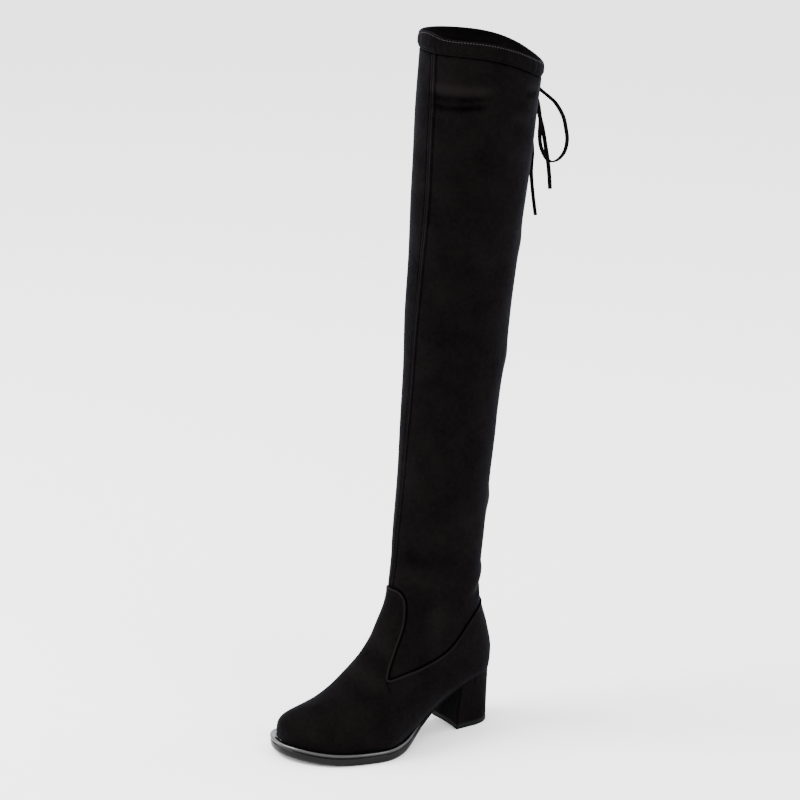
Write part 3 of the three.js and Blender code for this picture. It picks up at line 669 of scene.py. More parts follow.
def mix_colours(nodes, links, factor, dark, light):
    m = nodes.new("ShaderNodeMix")
    m.data_type = "RGBA"
    m.inputs[6].default_value = (*dark, 1)
    m.inputs[7].default_value = (*light, 1)
    links.new(factor, m.inputs[0])
    return m.outputs[2]


def suede(name, dark, light, sheen, nap_scale=1):
    """Brushed cloth with painted light: painted shade in the folds' troughs and a painted highlight and sheen
    on their crests, by the mesh's attribute values.
    """
    material, nodes, links, shader = new_material(name, 0.92)
    nap = nodes.new("ShaderNodeGroup")
    nap.node_tree = NAP
    nap.inputs["Scale"].default_value = nap_scale
    painted_light_and_polish = nodes.new("ShaderNodeAttribute")
    painted_light_and_polish.attribute_name = "painted_light_and_polish"
    # The nap's patches plus the folds' painted shade and highlight, which darken and lighten the colour.
    lit = nodes.new("ShaderNodeMath")
    lit.operation = "MULTIPLY_ADD"
    links.new(painted_light_and_polish.outputs["Fac"], lit.inputs[0])
    lit.inputs[1].default_value = FOLD_CONTRAST
    links.new(ramp(nodes, links, nap.outputs["Patch"], 0.2, 0.52, 0, 1), lit.inputs[2])
    lit.use_clamp = True
    links.new(mix_colours(nodes, links, lit.outputs[0], dark, light), shader.inputs["Base Color"])
    links.new(nap.outputs["Normal"], shader.inputs["Normal"])
    # The sheen follows the same value: a painted sheen on the fold crests.
    glow = ramp(nodes, links, lit.outputs[0], 0.4 * sheen, 2.4 * sheen, 0, 1)
    links.new(glow, shader.inputs["Sheen Weight"])
    shader.inputs["Sheen Roughness"].default_value = 0.35
    shader.inputs["Sheen Tint"].default_value = (0.72, 0.76, 0.95, 1)
    shader.inputs["Specular IOR Level"].default_value = 0
    return material


def rubber(name, colour, roughness, bump_distance, gloss, polish_and_painted_light=0.0):
    """Moulded rubber or thread. Where the mesh's attribute value is high it reflects more, and where it is
    low less: polish in part, and in part a painted highlight and painted shade.
    """
    material, nodes, links, shader = new_material(name, roughness)
    coords = nodes.new("ShaderNodeTexCoord").outputs["Object"]
    cloudy = noise(nodes, links, coords, GRAIN_CLOUDY, 3)
    worn = ramp(nodes, links, cloudy.outputs["Fac"], roughness * 0.85, roughness * 1.2)
    links.new(worn, shader.inputs["Roughness"])
    shader.inputs["Base Color"].default_value = (*colour, 1)
    painted_light_and_polish = nodes.new("ShaderNodeAttribute")
    painted_light_and_polish.attribute_name = "painted_light_and_polish"
    shine = ramp(nodes, links, painted_light_and_polish.outputs["Fac"], gloss - polish_and_painted_light, gloss + polish_and_painted_light, -1, 1)
    links.new(shine, shader.inputs["Specular IOR Level"])
    fine = noise(nodes, links, coords, GRAIN_FINE, 2)
    bump = nodes.new("ShaderNodeBump")
    bump.inputs["Strength"].default_value = 0.3
    bump.inputs["Distance"].default_value = bump_distance
    links.new(fine.outputs["Fac"], bump.inputs["Height"])
    links.new(bump.outputs["Normal"], shader.inputs["Normal"])
    return material


# The suede runs from dark to light with its nap's patches, and with the folds' painted shade and highlight.
SUEDE_DARK = (0.0006, 0.0005, 0.0005)
SUEDE_LIGHT = (0.0056, 0.0046, 0.0046)
SUEDE = suede("suede", SUEDE_DARK, SUEDE_LIGHT, 0.042)
LACE = suede("lace", SUEDE_DARK, SUEDE_LIGHT, 0.012)
THREAD = rubber("thread", (0.002, 0.0018, 0.002), 0.7, 0.0001, 0.02)
COLLAR_THREAD = rubber("collar_thread", (0.03, 0.029, 0.031), 0.6, 0.0001, 0.05)
RUBBER = rubber("sole_rubber", (0.0016, 0.0016, 0.0018), 0.2, 0.00002, 0.5, 0.49)
LIFT = rubber("lift_rubber", (0.0034, 0.0038, 0.0041), 0.42, 0.0001, 0.03)
SOCK = suede("sock", (0.004, 0.0036, 0.0036), (0.009, 0.0083, 0.0083), 0.02)


# The slots at the back of the casing, and the bow's own frame at the knot
TOP_ROW_HEIGHT = (1 - SHAFT_SECTIONS[-2][0]) * (COLLAR_FRONT_HEIGHT - ANKLE_FRONT_Z)
K_CASING = K_TOP - CASING_HEIGHT / TOP_ROW_HEIGHT
K_SLOT = lerp(K_CASING, K_TOP, 0.42)


def slot_place(side):
    turn = math.pi - side * SLOT_SPACING / COLLAR_WIDTH
    seat, outward = base_and_normal(K_SLOT, turn)
    return seat, outward


knot_seat, knot_outward = slot_place(0)
BOW_FACING = np.array([knot_outward[0], knot_outward[1], 0])
BOW_FACING /= np.linalg.norm(BOW_FACING)
BOW_ACROSS = np.array([BOW_FACING[1], -BOW_FACING[0], 0])
KNOT_CENTRE = knot_seat + BOW_FACING * KNOT_STAND - np.array([0, 0, KNOT_DROP])


def at_bow(point):
    across, away, up = point
    return KNOT_CENTRE + BOW_ACROSS * across + BOW_FACING * away + np.array([0, 0, up])


# The bow's strands: points across, away from the boot and up from the knot.
STRANDS = {
    "drawstring_loop_outer": [
        (0.003, -0.0008, 0.0008), (0.0074, 0.0, -0.0018), (0.010, 0.0008, -0.0092),
        (0.0134, 0.0012, -0.0156), (0.0196, 0.0012, -0.0206), (0.0289, 0.0012, -0.0258),
        (0.0371, 0.0012, -0.0314), (0.0453, 0.0012, -0.0423), (0.0488, 0.0012, -0.0539),
        (0.0503, 0.0012, -0.0644), (0.0477, 0.0012, -0.0755), (0.0414, 0.0012, -0.0836),
        (0.0344, 0.0012, -0.0874), (0.0286, 0.0012, -0.0864), (0.0236, 0.0012, -0.0808),
        (0.020, 0.0012, -0.0726), (0.019, 0.0012, -0.0618), (0.0194, 0.0012, -0.049),
        (0.0167, 0.0012, -0.0336), (0.0116, 0.0012, -0.0208), (0.007, 0.0006, -0.011),
        (0.0048, -0.0004, -0.0062), (0.003, -0.0008, -0.002),
    ],
    "drawstring_loop_inner": [
        (-0.003, -0.0008, 0.0008), (-0.0074, 0.0, -0.0016), (-0.0106, 0.0008, -0.0086),
        (-0.0146, 0.0012, -0.0146), (-0.0212, 0.0012, -0.0194), (-0.0302, 0.0012, -0.025),
        (-0.0376, 0.0012, -0.0322), (-0.0436, 0.0012, -0.0436), (-0.0454, 0.0012, -0.0556),
        (-0.0446, 0.0012, -0.067), (-0.0402, 0.0012, -0.0768), (-0.0334, 0.0012, -0.082),
        (-0.027, 0.0012, -0.0816), (-0.022, 0.0012, -0.0764), (-0.0192, 0.0012, -0.0674),
        (-0.0186, 0.0012, -0.056), (-0.0184, 0.0012, -0.044), (-0.0154, 0.0012, -0.0304),
        (-0.011, 0.0012, -0.019), (-0.0072, 0.0006, -0.0106), (-0.0054, -0.0008, -0.0062),
        (-0.0036, -0.0012, -0.002),
    ],
    "drawstring_end_outer": [
        (0.0018, 0.0014, -0.0015), (0.0026, 0.0034, -0.0052), (0.004, 0.0048, -0.012),
        (0.007, 0.005, -0.0207), (0.0122, 0.005, -0.031), (0.0158, 0.005, -0.0454),
        (0.0198, 0.005, -0.058), (0.023, 0.005, -0.0727), (0.0256, 0.005, -0.085),
        (0.0278, 0.005, -0.100), (0.0292, 0.005, -0.1152),
    ],
    "drawstring_end_inner": [
        (-0.002, 0.0008, -0.0015), (-0.0022, 0.0024, -0.0056), (0.0, 0.0029, -0.0126),
        (0.0032, 0.003, -0.0228), (0.0052, 0.003, -0.0364), (0.0065, 0.003, -0.0512),
        (0.0086, 0.003, -0.0668), (0.0099, 0.003, -0.0825), (0.0088, 0.003, -0.1005),
        (0.0107, 0.003, -0.1206), (0.0143, 0.003, -0.1427),
    ],
}
# The way each strand's width is turned: across, and away from the boot.
LACE_TURNS = {
    "drawstring_loop_outer": (0.6, 1.0),
    "drawstring_loop_inner": (-0.6, 1.0),
    "drawstring_end_outer": (0.85, 0.53),
    "drawstring_end_inner": (1.0, 0.0),
}
LACE_STEP = 0.0012


def lace_section(count):
    """A flat lace's section with rounded edges, as (wide, thin) shares."""
    angle = np.arange(count) / count * 2 * math.pi
    c, s = np.cos(angle), np.sin(angle)
    return np.stack([np.sign(c) * np.abs(c) ** 0.55, np.sign(s) * np.abs(s) ** 0.7], -1)


def lace_along(path, width_towards, section):
    """Rings of a flat lace along a path, its width turned towards a direction."""
    tangent = np.gradient(path, axis=0)
    tangent /= np.linalg.norm(tangent, axis=1, keepdims=True)
    wide = width_towards - tangent * (tangent @ width_towards)[:, None]
    wide /= np.linalg.norm(wide, axis=1, keepdims=True)
    thin = np.cross(tangent, wide)
    w = section[None, :, 0, None] * LACE_WIDTH / 2
    t = section[None, :, 1, None] * LACE_THICKNESS / 2
    return path[:, None] + wide[:, None] * w + thin[:, None] * t


def even_path(points, step):
    """A smooth line through points with even steps of length."""
    dense = spline(points, 40 * len(points))
    length = np.concatenate([[0], np.cumsum(np.linalg.norm(np.diff(dense, axis=0), axis=1))])
    count = max(int(round(length[-1] / step)), 8)
    at = np.linspace(0, length[-1], count + 1)
    return np.stack([np.interp(at, length, dense[:, i]) for i in range(3)], -1)


for strand_name, strand_points in STRANDS.items():
    strand_path = even_path([at_bow(p) for p in strand_points], LACE_STEP)
    turned_across, turned_away = LACE_TURNS[strand_name]
    strand_width = BOW_ACROSS * turned_across + BOW_FACING * turned_away
    rings = lace_along(strand_path, strand_width, lace_section(14))
    strand = add_mesh(strand_name.replace("drawstring", "lace"), *loft(rings, "fan", "fan"), LACE)
    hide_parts(strand_name)


def knot_piece():
    """The knot's body, a band of lace wrapped round it, and the two leads up to the slots."""
    around, up = 28, 18
    theta = np.linspace(0, 2 * math.pi, around, endpoint=False)
    rings = []
    for phi in np.linspace(-math.pi / 2 + 0.12, math.pi / 2 - 0.12, up):
        ripple = 1 + 0.05 * np.sin(3 * theta + 4 * phi)
        across = np.cos(phi) * np.cos(theta) * KNOT_WIDTH / 2 * ripple
        away = np.cos(phi) * np.sin(theta) * KNOT_THICKNESS / 2.3 * ripple
        rise = np.full(around, math.sin(phi) * KNOT_HEIGHT / 2)
        rings.append([at_bow(p) for p in zip(across, away, rise)])
    parts = [loft(rings, "fan", "fan")]
    band = []
    for a in np.linspace(0, 2 * math.pi, 49):
        sway = 0.0008 * math.sin(a + 0.6)
        band.append(at_bow((sway, math.cos(a) * KNOT_THICKNESS / 2.1, math.sin(a) * KNOT_HEIGHT / 2.05)))
    parts.append(loft(lace_along(np.array(band), BOW_ACROSS, lace_section(12))))
    for side in (1, -1):
        seat, outward = slot_place(side)
        mouth = seat + outward * (CASING_STAND - SLOT_DEPTH / 2)
        bend = seat + outward * (CASING_STAND + LACE_THICKNESS) - np.array([0, 0, SLOT_HEIGHT / 2])
        lead = even_path([mouth, bend, lerp(KNOT_CENTRE, bend, 0.4), KNOT_CENTRE], 0.0008)
        parts.append(loft(lace_along(lead, BOW_ACROSS, lace_section(12)), "fan", "fan"))
    points, faces = [], []
    for part_points, part_faces in parts:
        offset = sum(len(p) for p in points)
        points.append(np.asarray(part_points))
        faces += [[v + offset for v in f] for f in part_faces]
    return np.vstack(points), faces


knot = add_mesh("lace_knot", *knot_piece(), LACE)
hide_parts("drawstring_knot")


# The shaft: rows run up from under the overlay into the casing, and down again inside
SEAM_RADIUS = (ANKLE_WIDTH + ANKLE_DEPTH) / 4
RIDGE_OFFSET = 0.00125
SHAFT_COLUMNS_A_SIDE = 150
SHAFT_ROWS = 230
SHAFT_INNER_ROWS = 40


def foot_of_column(turn):
    return seam_k(lambda k: np.broadcast_to(turn, np.shape(k)), len(turn))


def shaft_turns():
    """Columns round the shaft, close together at the front and back seams."""
    beside = np.array([0, 0.0004, 0.0008, RIDGE_OFFSET, 0.0017, 0.0021, 0.0025, 0.003, 0.0042, 0.006])
    beside /= SEAM_RADIUS
    outer = spread_columns(beside[-1], math.pi - beside[-1])
    inner = spread_columns(math.pi + beside[-1], 2 * math.pi - beside[-1])
    back = np.concatenate([(math.pi - beside)[:0:-1], math.pi + beside])
    front = 2 * math.pi - beside[:0:-1]
    return np.concatenate([beside[:-1], outer, back[1:-1], inner, front[1:]])


def seam_rise(off):
    """Two low ridges beside each seam, with a groove between them, by the distance from the seam."""
    ridge = np.exp(-(((off - RIDGE_OFFSET) / 0.0007) ** 2))
    return SEAM_RIDGE * ridge * (off < 0.004)


def spread_columns(low, high):
    """Places between low and high, closer together where the edge line runs along the columns."""
    dense = np.linspace(low, high, 700)
    edge_weight = 0.16
    steps = np.hypot(np.diff(dense), edge_weight * np.diff(foot_of_column(dense)))
    length = np.concatenate([[0], np.cumsum(steps)])
    return np.interp(np.linspace(0, length[-1], SHAFT_COLUMNS_A_SIDE), length, dense)


def rows_between(low, shares):
    """For each column of the shaft, ks from low to the casing, at the given shares of its length."""
    count = len(low)
    samples = np.linspace(0, 1, 260)
    ks = low[None, :] + (K_SHAFT_END - low)[None, :] * samples[:, None]
    points = form_point(ks, seamed(ks, np.broadcast_to(SHAFT_TURNS, ks.shape)))
    steps = np.linalg.norm(np.diff(points, axis=0), axis=-1)
    length = np.vstack([np.zeros(count), np.cumsum(steps, axis=0)])
    at = shares[:, None] * length[-1][None, :]
    return np.stack([np.interp(at[:, j], length[:, j], ks[:, j]) for j in range(count)], 1)


def on_columns(ks):
    """The form's points and normals at rows of ks on the shaft's columns."""
    return base_and_normal(ks, np.broadcast_to(SHAFT_TURNS, ks.shape))


SHAFT_TURNS = shaft_turns()
SHAFT_FOOT = foot_of_column(SHAFT_TURNS)
K_SHAFT_END = K_CASING - TOUCH / TOP_ROW_HEIGHT
# The folds below the casing: how far round from the back, and how strong
GATHER_TURNS = [(-1.05, 0.9), (-0.72, 1.2), (-0.42, 1.0), (0.38, 1.1), (0.7, 1.25), (1.02, 0.95), (1.35, 0.6)]
GATHER_HEIGHT = 0.0007
GATHER_WIDTH = 0.055
GATHER_LENGTH = 0.016
GATHER_LEAN = 10 / 3
PINCH_DEPTH = 0.0006
PINCH_WIDTH = 0.0016
EDGE_DIP_DEPTH = 0.0005
EDGE_DIP_WIDTH = 0.0013
TUCKED_UNDER = 0.8


def gathers(turn, below):
    """The cloth below the casing is drawn in by the string: short upright folds near the slots."""
    lift = np.zeros(turn.shape)
    for offset, strength in GATHER_TURNS:
        away = (turn - math.pi - offset - GATHER_LEAN * below * offset) / GATHER_WIDTH
        lift += strength * GATHER_HEIGHT * np.exp(-(away**2)) * np.exp(-((below / GATHER_LENGTH) ** 2))
    return lift


def seam_shade(off):
    """A painted highlight on the seam's ridges, and painted shade on the cloth just beside them."""
    return 0.25 * np.exp(-((off / 0.0018) ** 2)) - 0.6 * np.exp(-(((off - 0.0028) / 0.0006) ** 2))


def shaft_face():
    """The outside of the shaft, and its painted light and shade."""
    shares = np.concatenate([
        np.linspace(0, 0.02, 6)[:-1], np.linspace(0.02, 0.98, SHAFT_ROWS), np.linspace(0.98, 1, 6)[1:],
    ])
    ks = rows_between(SHAFT_FOOT, shares)
    base, normal = on_columns(ks)
    turn = np.broadcast_to(SHAFT_TURNS, ks.shape)
    below = (K_CASING - ks) * TOP_ROW_HEIGHT
    pinch = -PINCH_DEPTH * np.exp(-((below / PINCH_WIDTH) ** 2))
    low_rows = int((ks.min(axis=1) < K_ANKLE).sum())
    gap, _ = distance_to_line(base[:low_rows], base[0, ::2], True)
    edge_dip = np.zeros(ks.shape)
    edge_dip[:low_rows] = np.exp(-((gap / EDGE_DIP_WIDTH) ** 2))
    gathered = gathers(turn, below)
    off = np.abs(np.sin(turn)) * SEAM_RADIUS
    out = seam_rise(off) + relief(base) + gathered + pinch - EDGE_DIP_DEPTH * edge_dip
    # Painted shade in the fold troughs, just beside the overlay's edge, beside the seams and in the pinch
    # under the casing; painted highlight on the fold and gather crests and on the seam ridges.
    shade = (folds_at(base) + gathered) / FOLD_SHADE - edge_dip + seam_shade(off) + 1000 * pinch
    return base + normal * out[..., None], shade


def shaft_piece():
    """Rows tucked under the overlay, the outside, rows inside the casing, and the inside."""
    tuck = SHAFT_FOOT[None, :] - np.array([TUCKED_UNDER, 0.5, 0.3, 0.15, 0.05])[:, None]
    tuck_base, tuck_normal = on_columns(tuck)
    tuck_points = tuck_base + tuck_normal * -0.0004
    outer, shade = shaft_face()
    hidden = np.array([0.2, 0.5, 0.5, 0.2])[:, None] * (K_TOP - K_CASING) + K_CASING
    hidden_base, hidden_normal = on_columns(np.broadcast_to(hidden, (4, len(SHAFT_TURNS))))
    hidden_points = hidden_base + hidden_normal * np.array([-0.0002, -0.0003, -0.0009, -0.001])[:, None, None]
    inner_base, inner_normal = on_columns(
        rows_between(SHAFT_FOOT - TUCKED_UNDER, np.linspace(1, 0, SHAFT_INNER_ROWS)),
    )
    inner = inner_base + inner_normal * (relief(inner_base) - SHAFT_WALL)[..., None]
    rings = np.concatenate([tuck_points, outer, hidden_points, inner])
    plain = np.zeros((len(hidden_points) + len(inner), rings.shape[1]))
    # The rows tucked under the overlay are painted fully dark, a painted shade.
    values = np.concatenate([np.full(tuck_points.shape[:2], -1.0), shade, plain])
    return rings, tube_faces(*rings.shape[:2]), values


shaft_points, shaft_faces, shaft_values = shaft_piece()
shaft = add_mesh("shaft_suede", shaft_points, shaft_faces, SUEDE, shaft_values)
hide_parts("shaft")


# The feather line, where the upper meets the bed
def above_bed(k, turn):
    p = skin(k, turn, np.full(np.shape(k), OVERLAY_STEP))
    return p[..., 2] - bed_height(p[..., 1])


def bisect(low, high, is_low, count=40):
    """The place between low and high where is_low turns false."""
    low, high = np.array(low, float), np.array(high, float)
    for _ in range(count):
        mid = (low + high) / 2
        keep = is_low(mid)
        low = np.where(keep, mid, low)
        high = np.where(keep, high, mid)
    return (low + high) / 2


class Feather:
    """The line round the form at a height over the bed, as a turn on either side for each k."""

    def __init__(self, height):
        self.first = float(bisect(0.0, 1.0, lambda k: above_bed(k, math.pi) > height))
        self.last = float(bisect(6.0, float(K_ANKLE), lambda k: above_bed(k, math.pi) < height))
        self.ks = lerp(self.first, self.last, (1 - np.cos(np.linspace(0, math.pi, 500))) / 2)
        self.outer = self.turns(1, height)
        self.inner = self.turns(-1, height)

    def turns(self, sign, height):
        low, high = np.zeros(len(self.ks)), np.full(len(self.ks), math.pi)
        return bisect(low, high, lambda t: above_bed(self.ks, sign * t) > height, 30)

    def turn(self, k, sign):
        return np.interp(k, self.ks, self.outer if sign > 0 else self.inner, left=math.pi, right=math.pi)

    def line(self, count):
        stand = np.full(len(self.ks), OVERLAY_STEP)
        outer = evenly(skin(self.ks, self.outer, stand), count // 2 + 1)
        inner = evenly(skin(self.ks, -self.inner, stand), count // 2 + 1)
        return np.vstack([outer, inner[1:-1][::-1]])


def evenly(points, count):
    length = np.concatenate([[0], np.cumsum(np.linalg.norm(np.diff(points, axis=0), axis=1))])
    at = np.linspace(0, length[-1], count)
    return np.stack([np.interp(at, length, points[:, i]) for i in range(3)], -1)


TUCK_DEPTH = 0.0035
feather = Feather(0.0)
tucked_feather = Feather(-TUCK_DEPTH)


# The upper: columns run from the inner feather over the foot to the outer feather. Its grid stops short of
# the overlay's edge, which is a rolled strip of its own in the same mesh.
def edge_ring(count):
    """The overlay's edge round the form: its k and turn, at even steps of its length."""
    fine = np.linspace(0, 2 * math.pi, 3000)
    k = foot_of_column(fine)
    points, _ = base_and_normal(k, fine)
    length = np.concatenate([[0], np.cumsum(np.linalg.norm(np.diff(points, axis=0), axis=1))])
    at = np.linspace(0, length[-1], count + 1)[:-1]
    return np.interp(at, length, k), np.interp(at, length, fine)


EDGE_COUNT = 640
edge_k, edge_turn = edge_ring(EDGE_COUNT)
edge_line, edge_normal = base_and_normal(edge_k, edge_turn)


def moved_on_form(k, turn, step):
    """The k and turn reached by a small step along the form's surface."""
    d = 0.01
    here = form_point(k, seamed(k, turn))
    along_k = (form_point(k + d, seamed(k + d, turn)) - here) / d
    along_turn = (form_point(k, seamed(k, turn + d)) - here) / d
    kk = (along_k * along_k).sum(-1)
    kt = (along_k * along_turn).sum(-1)
    tt = (along_turn * along_turn).sum(-1)
    sk = (along_k * step).sum(-1)
    st = (along_turn * step).sum(-1)
    det = kk * tt - kt * kt
    return k + (sk * tt - st * kt) / det, turn + (st * kk - sk * kt) / det


# The rolled edge in section, with the stitched channel behind it: how far into the upper, how far out from
# the form, and its painted light: a painted highlight on the roll's crown, painted shade in the channel and
# at its lip.
ROLL = [
    (0.0042, OVERLAY_STEP - 0.0003, 0.0), (0.0036, OVERLAY_STEP + 0.00002, -0.1),
    (0.0031, OVERLAY_STEP - 0.00022, -0.4), (0.0027, OVERLAY_STEP - 0.00012, -0.3),
    (0.0023, OVERLAY_STEP + 0.0002, 0.1), (0.0018, OVERLAY_STEP + 0.00042, 0.7),
    (0.0012, OVERLAY_STEP + 0.00048, 1.0), (0.0007, OVERLAY_STEP + 0.00036, 0.7),
    (0.0003, OVERLAY_STEP + 0.00012, 0.2), (0.0001, OVERLAY_STEP - 0.0002, -0.6),
    (0.00005, OVERLAY_STEP - 0.0006, -1.0), (0.0002, -0.0005, -1.0),
]
ROLL_CHANNEL = 2


def smooth_round(values, passes):
    for _ in range(passes):
        values = (np.roll(values, 1, axis=0) + 2 * values + np.roll(values, -1, axis=0)) / 4
    return values


def rolled_edge():
    """The rows of the rolled strip, each at one step of the section along the whole edge."""
    tangent = np.roll(edge_line, -1, axis=0) - np.roll(edge_line, 1, axis=0)
    tangent /= np.linalg.norm(tangent, axis=1, keepdims=True)
    inward = np.cross(edge_normal, tangent)
    inward = smooth_round(inward, 6)
    inward /= np.linalg.norm(inward, axis=1, keepdims=True)
    probe = edge_line + inward * 0.001
    if inside_outline(probe).mean() > 0.5:
        inward = -inward
    rings = []
    for across, out, _ in ROLL:
        k, turn = moved_on_form(edge_k, edge_turn, inward * across)
        base, normal = base_and_normal(k, turn)
        rings.append(base + normal * (out + relief(base))[..., None])
    return np.array(rings)


UPPER_COLUMNS = 260
UPPER_ROWS = 236
TOE_ROWS = 60
FEATHER_MARGIN = 0.03
EDGE_COVER = 0.0014


def upper_grid():
    """The ks and turns of the upper's grid, with more rows and columns near the feather."""
    beside = 1 - FEATHER_MARGIN * np.linspace(1, 0, 6)[1:]
    share = np.concatenate([
        -beside[::-1], np.linspace(FEATHER_MARGIN - 1, 1 - FEATHER_MARGIN, UPPER_COLUMNS), beside,
    ])
    near_ends = np.linspace(0, 0.7, 22) ** 2
    rows = np.unique(np.concatenate([
        K_ANKLE * np.linspace(0.0003, 1, UPPER_ROWS) ** 1.05,
        tucked_feather.first + near_ends[near_ends < 0.4],
        tucked_feather.last - near_ends,
    ]).round(4))
    k = np.broadcast_to(rows[:, None], (len(rows), len(share)))
    return k, np.where(share >= 0, share * tucked_feather.turn(k, 1), share * tucked_feather.turn(k, -1))


def kept_faces(rows, columns, keep, start, flip):
    faces = grid_faces(rows, columns, False)
    kept = faces[keep.reshape(-1)[faces].all(axis=1)]
    return ((kept[:, ::-1] if flip else kept) + start).tolist()


def thin_out(points, keep):
    """Every fourth row and second column, for the side that hardly shows."""
    rows = np.unique(np.append(np.arange(0, points.shape[0], 4), points.shape[0] - 1))
    cols = np.unique(np.append(np.arange(0, points.shape[1], 2), points.shape[1] - 1))
    return points[np.ix_(rows, cols)], keep[np.ix_(rows, cols)]


def roll_shade():
    """Painted light on the roll: its painted highlight is full along the vamp and weak along the counter, and
    its painted shade is full all round.
    """
    side_turn = np.minimum(edge_turn, 2 * math.pi - edge_turn)
    light = lerp(1.0, 0.25, smoothstep(1.35, 1.6, side_turn))
    shade = np.array([row[2] for row in ROLL])[:, None]
    return shade * np.where(shade > 0, light[None, :], 1)


def upper_piece(roll):
    """The outside, a thinned inside, the rolled strip over the edge, and the toe's tip."""
    base, normal = base_and_normal(*upper_grid())
    past_edge = inside_outline(base)
    gap, _ = distance_to_line(base[TOE_ROWS:, :], edge_line[::2], True)
    gap = np.vstack([np.ones((TOE_ROWS, base.shape[1])), gap])
    outer = base + normal * (OVERLAY_STEP + relief(base))[..., None]
    inner, keep_inner = thin_out(base + normal * (OVERLAY_STEP - UPPER_WALL), ~past_edge)
    rows, columns = outer.shape[:2]
    inner_start = rows * columns
    roll_start = inner_start + keep_inner.size
    tip = roll_start + roll.shape[0] * roll.shape[1]
    faces = kept_faces(rows, columns, ~past_edge & (gap > EDGE_COVER), 0, False)
    faces += kept_faces(*keep_inner.shape, keep_inner, inner_start, True)
    faces += grid_faces(len(roll), EDGE_COUNT, True, roll_start).tolist()
    faces += [[j, tip, j + 1] for j in range(columns - 1)]
    points = [outer.reshape(-1, 3), inner.reshape(-1, 3), roll.reshape(-1, 3), outer[0].mean(axis=0)]
    # The folds' painted shade and highlight on the outside, none inside, and the roll's painted light.
    folds = [
        (folds_at(base) / FOLD_SHADE).reshape(-1), np.zeros(keep_inner.size), roll_shade().reshape(-1), [0.0],
    ]
    return np.vstack(points), faces, np.concatenate(folds)


edge_roll = rolled_edge()
upper_points, upper_faces, upper_painted_light = upper_piece(edge_roll)
upper = add_mesh("upper_suede", upper_points, upper_faces, SUEDE, upper_painted_light)
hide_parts("upper")


# The casing: a puffed band with a slot for each end of the drawstring
def casing_turns():
    half_back = 0.26
    even = np.linspace(0, math.pi - half_back, 120)[:-1]
    back = np.linspace(math.pi - half_back, math.pi + half_back, 64)
    return np.concatenate([even, back, (2 * math.pi - even[1:])[::-1]])


PEAK_HEIGHT = 0.0042
PEAK_TURN = -0.16
PEAK_WIDTH = 0.27
LOW_STITCHES = 0.14
HIGH_STITCHES = 0.9
PUCKER_HEIGHT = 0.00028
# The band in section, up the outside and down the inside: the share of its height, and how far out
CASING_PROFILE = [
    (0.0, 0.0001), (0.05, 0.0008), (0.14, 0.0013), (0.3, CASING_STAND), (0.5, CASING_STAND + 0.0001),
    (0.7, CASING_STAND - 0.0001), (0.88, 0.0012), (0.96, 0.0006), (1.0, -0.0001), (0.99, -0.0008),
    (0.94, 0.0011 - CASING_WALL), (0.6, 0.0017 - CASING_WALL), (0.3, -SHAFT_WALL - 0.0001),
    (0.0, -SHAFT_WALL),
]


def peak_rise(turn, share):
    """The rim stands up a little at the front seam."""
    from_peak = (np.remainder(turn - PEAK_TURN + math.pi, 2 * math.pi) - math.pi) / PEAK_WIDTH
    return PEAK_HEIGHT * np.exp(-(from_peak**2)) * smoothstep(0.2, 1, share)


def slot_holes(points, normal):
    """The band's points, pressed in at the two slots."""
    soft = 0.0004
    for side in (1, -1):
        seat, outward = slot_place(side)
        across = np.array([outward[1], -outward[0], 0])
        across /= np.linalg.norm(across)
        upward = np.cross(outward, across)
        local = points - seat
        u, v = np.abs(local @ across), np.abs(local @ upward)
        hole = (1 - smoothstep(SLOT_WIDTH / 2 - soft, SLOT_WIDTH / 2 + soft, u)) * (
            1 - smoothstep(SLOT_HEIGHT / 2 - soft, SLOT_HEIGHT / 2 + soft, v)
        )
        near_front = (local @ outward) > -0.0005
        points = points - normal * (hole * near_front * SLOT_DEPTH)[..., None]
    return points


def stitched_in(share, place):
    """How much a line of stitches draws the band in."""
    return np.exp(-(((share - place) / 0.05) ** 2))


def casing_piece():
    """The puffed band, drawn in along its stitches and puckered by the string."""
    turn = casing_turns()
    profile = spline([(up, out, 0) for up, out in CASING_PROFILE], 78)[:, :2]
    k = lerp(K_CASING, K_TOP, np.clip(profile[:, 0], 0, 1.002))[:, None]
    k, turn = np.broadcast_arrays(k, turn[None, :])
    base, normal = base_and_normal(k, turn)
    out = np.repeat(profile[:, 1][:, None], turn.shape[1], 1)
    outside = profile[:, 1][:, None] > -0.0002
    pucker = PUCKER_HEIGHT * np.sin(turn * 46 + 1.7 * np.sin(turn * 5)) * (0.6 + 0.4 * np.sin(turn * 11 + 1))
    share = profile[:, 0][:, None]
    out = out + pucker * outside * smoothstep(0.0, 0.25, share) * (1 - smoothstep(0.75, 1, share))
    line = -0.0005 * stitched_in(share, LOW_STITCHES) - 0.0003 * stitched_in(share, HIGH_STITCHES)
    out = out + line * outside
    seam_off = np.abs(np.sin(turn)) * (COLLAR_WIDTH + COLLAR_DEPTH) / 4
    out = out + outside * 0.0004 * np.exp(-(((seam_off - 0.0013) / 0.0008) ** 2))
    points = base + normal * out[..., None]
    points[..., 2] += peak_rise(turn, share)
    return slot_holes(points, normal), tube_faces(*points.shape[:2])


casing = add_mesh("casing_suede", *casing_piece(), SUEDE)
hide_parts("drawstring_casing")


# The outsole
reach_share = smooth_table([
    (0.18, -0.1), (0.33, -0.1), (0.43, 0.0), (0.48, 0.35), (0.55, 0.95), (0.62, 1.0), (0.85, 1.0), (1.0, 1.3),
])
thick_share = smooth_table([(0.18, 0.0), (0.34, 0.0), (0.42, 0.25), (0.5, 0.8), (0.56, 1.0), (1.0, 1.0)])
LIP_BOTTOM = RIM_HEIGHT + GROOVE_HEIGHT
BEAD = 0.0006
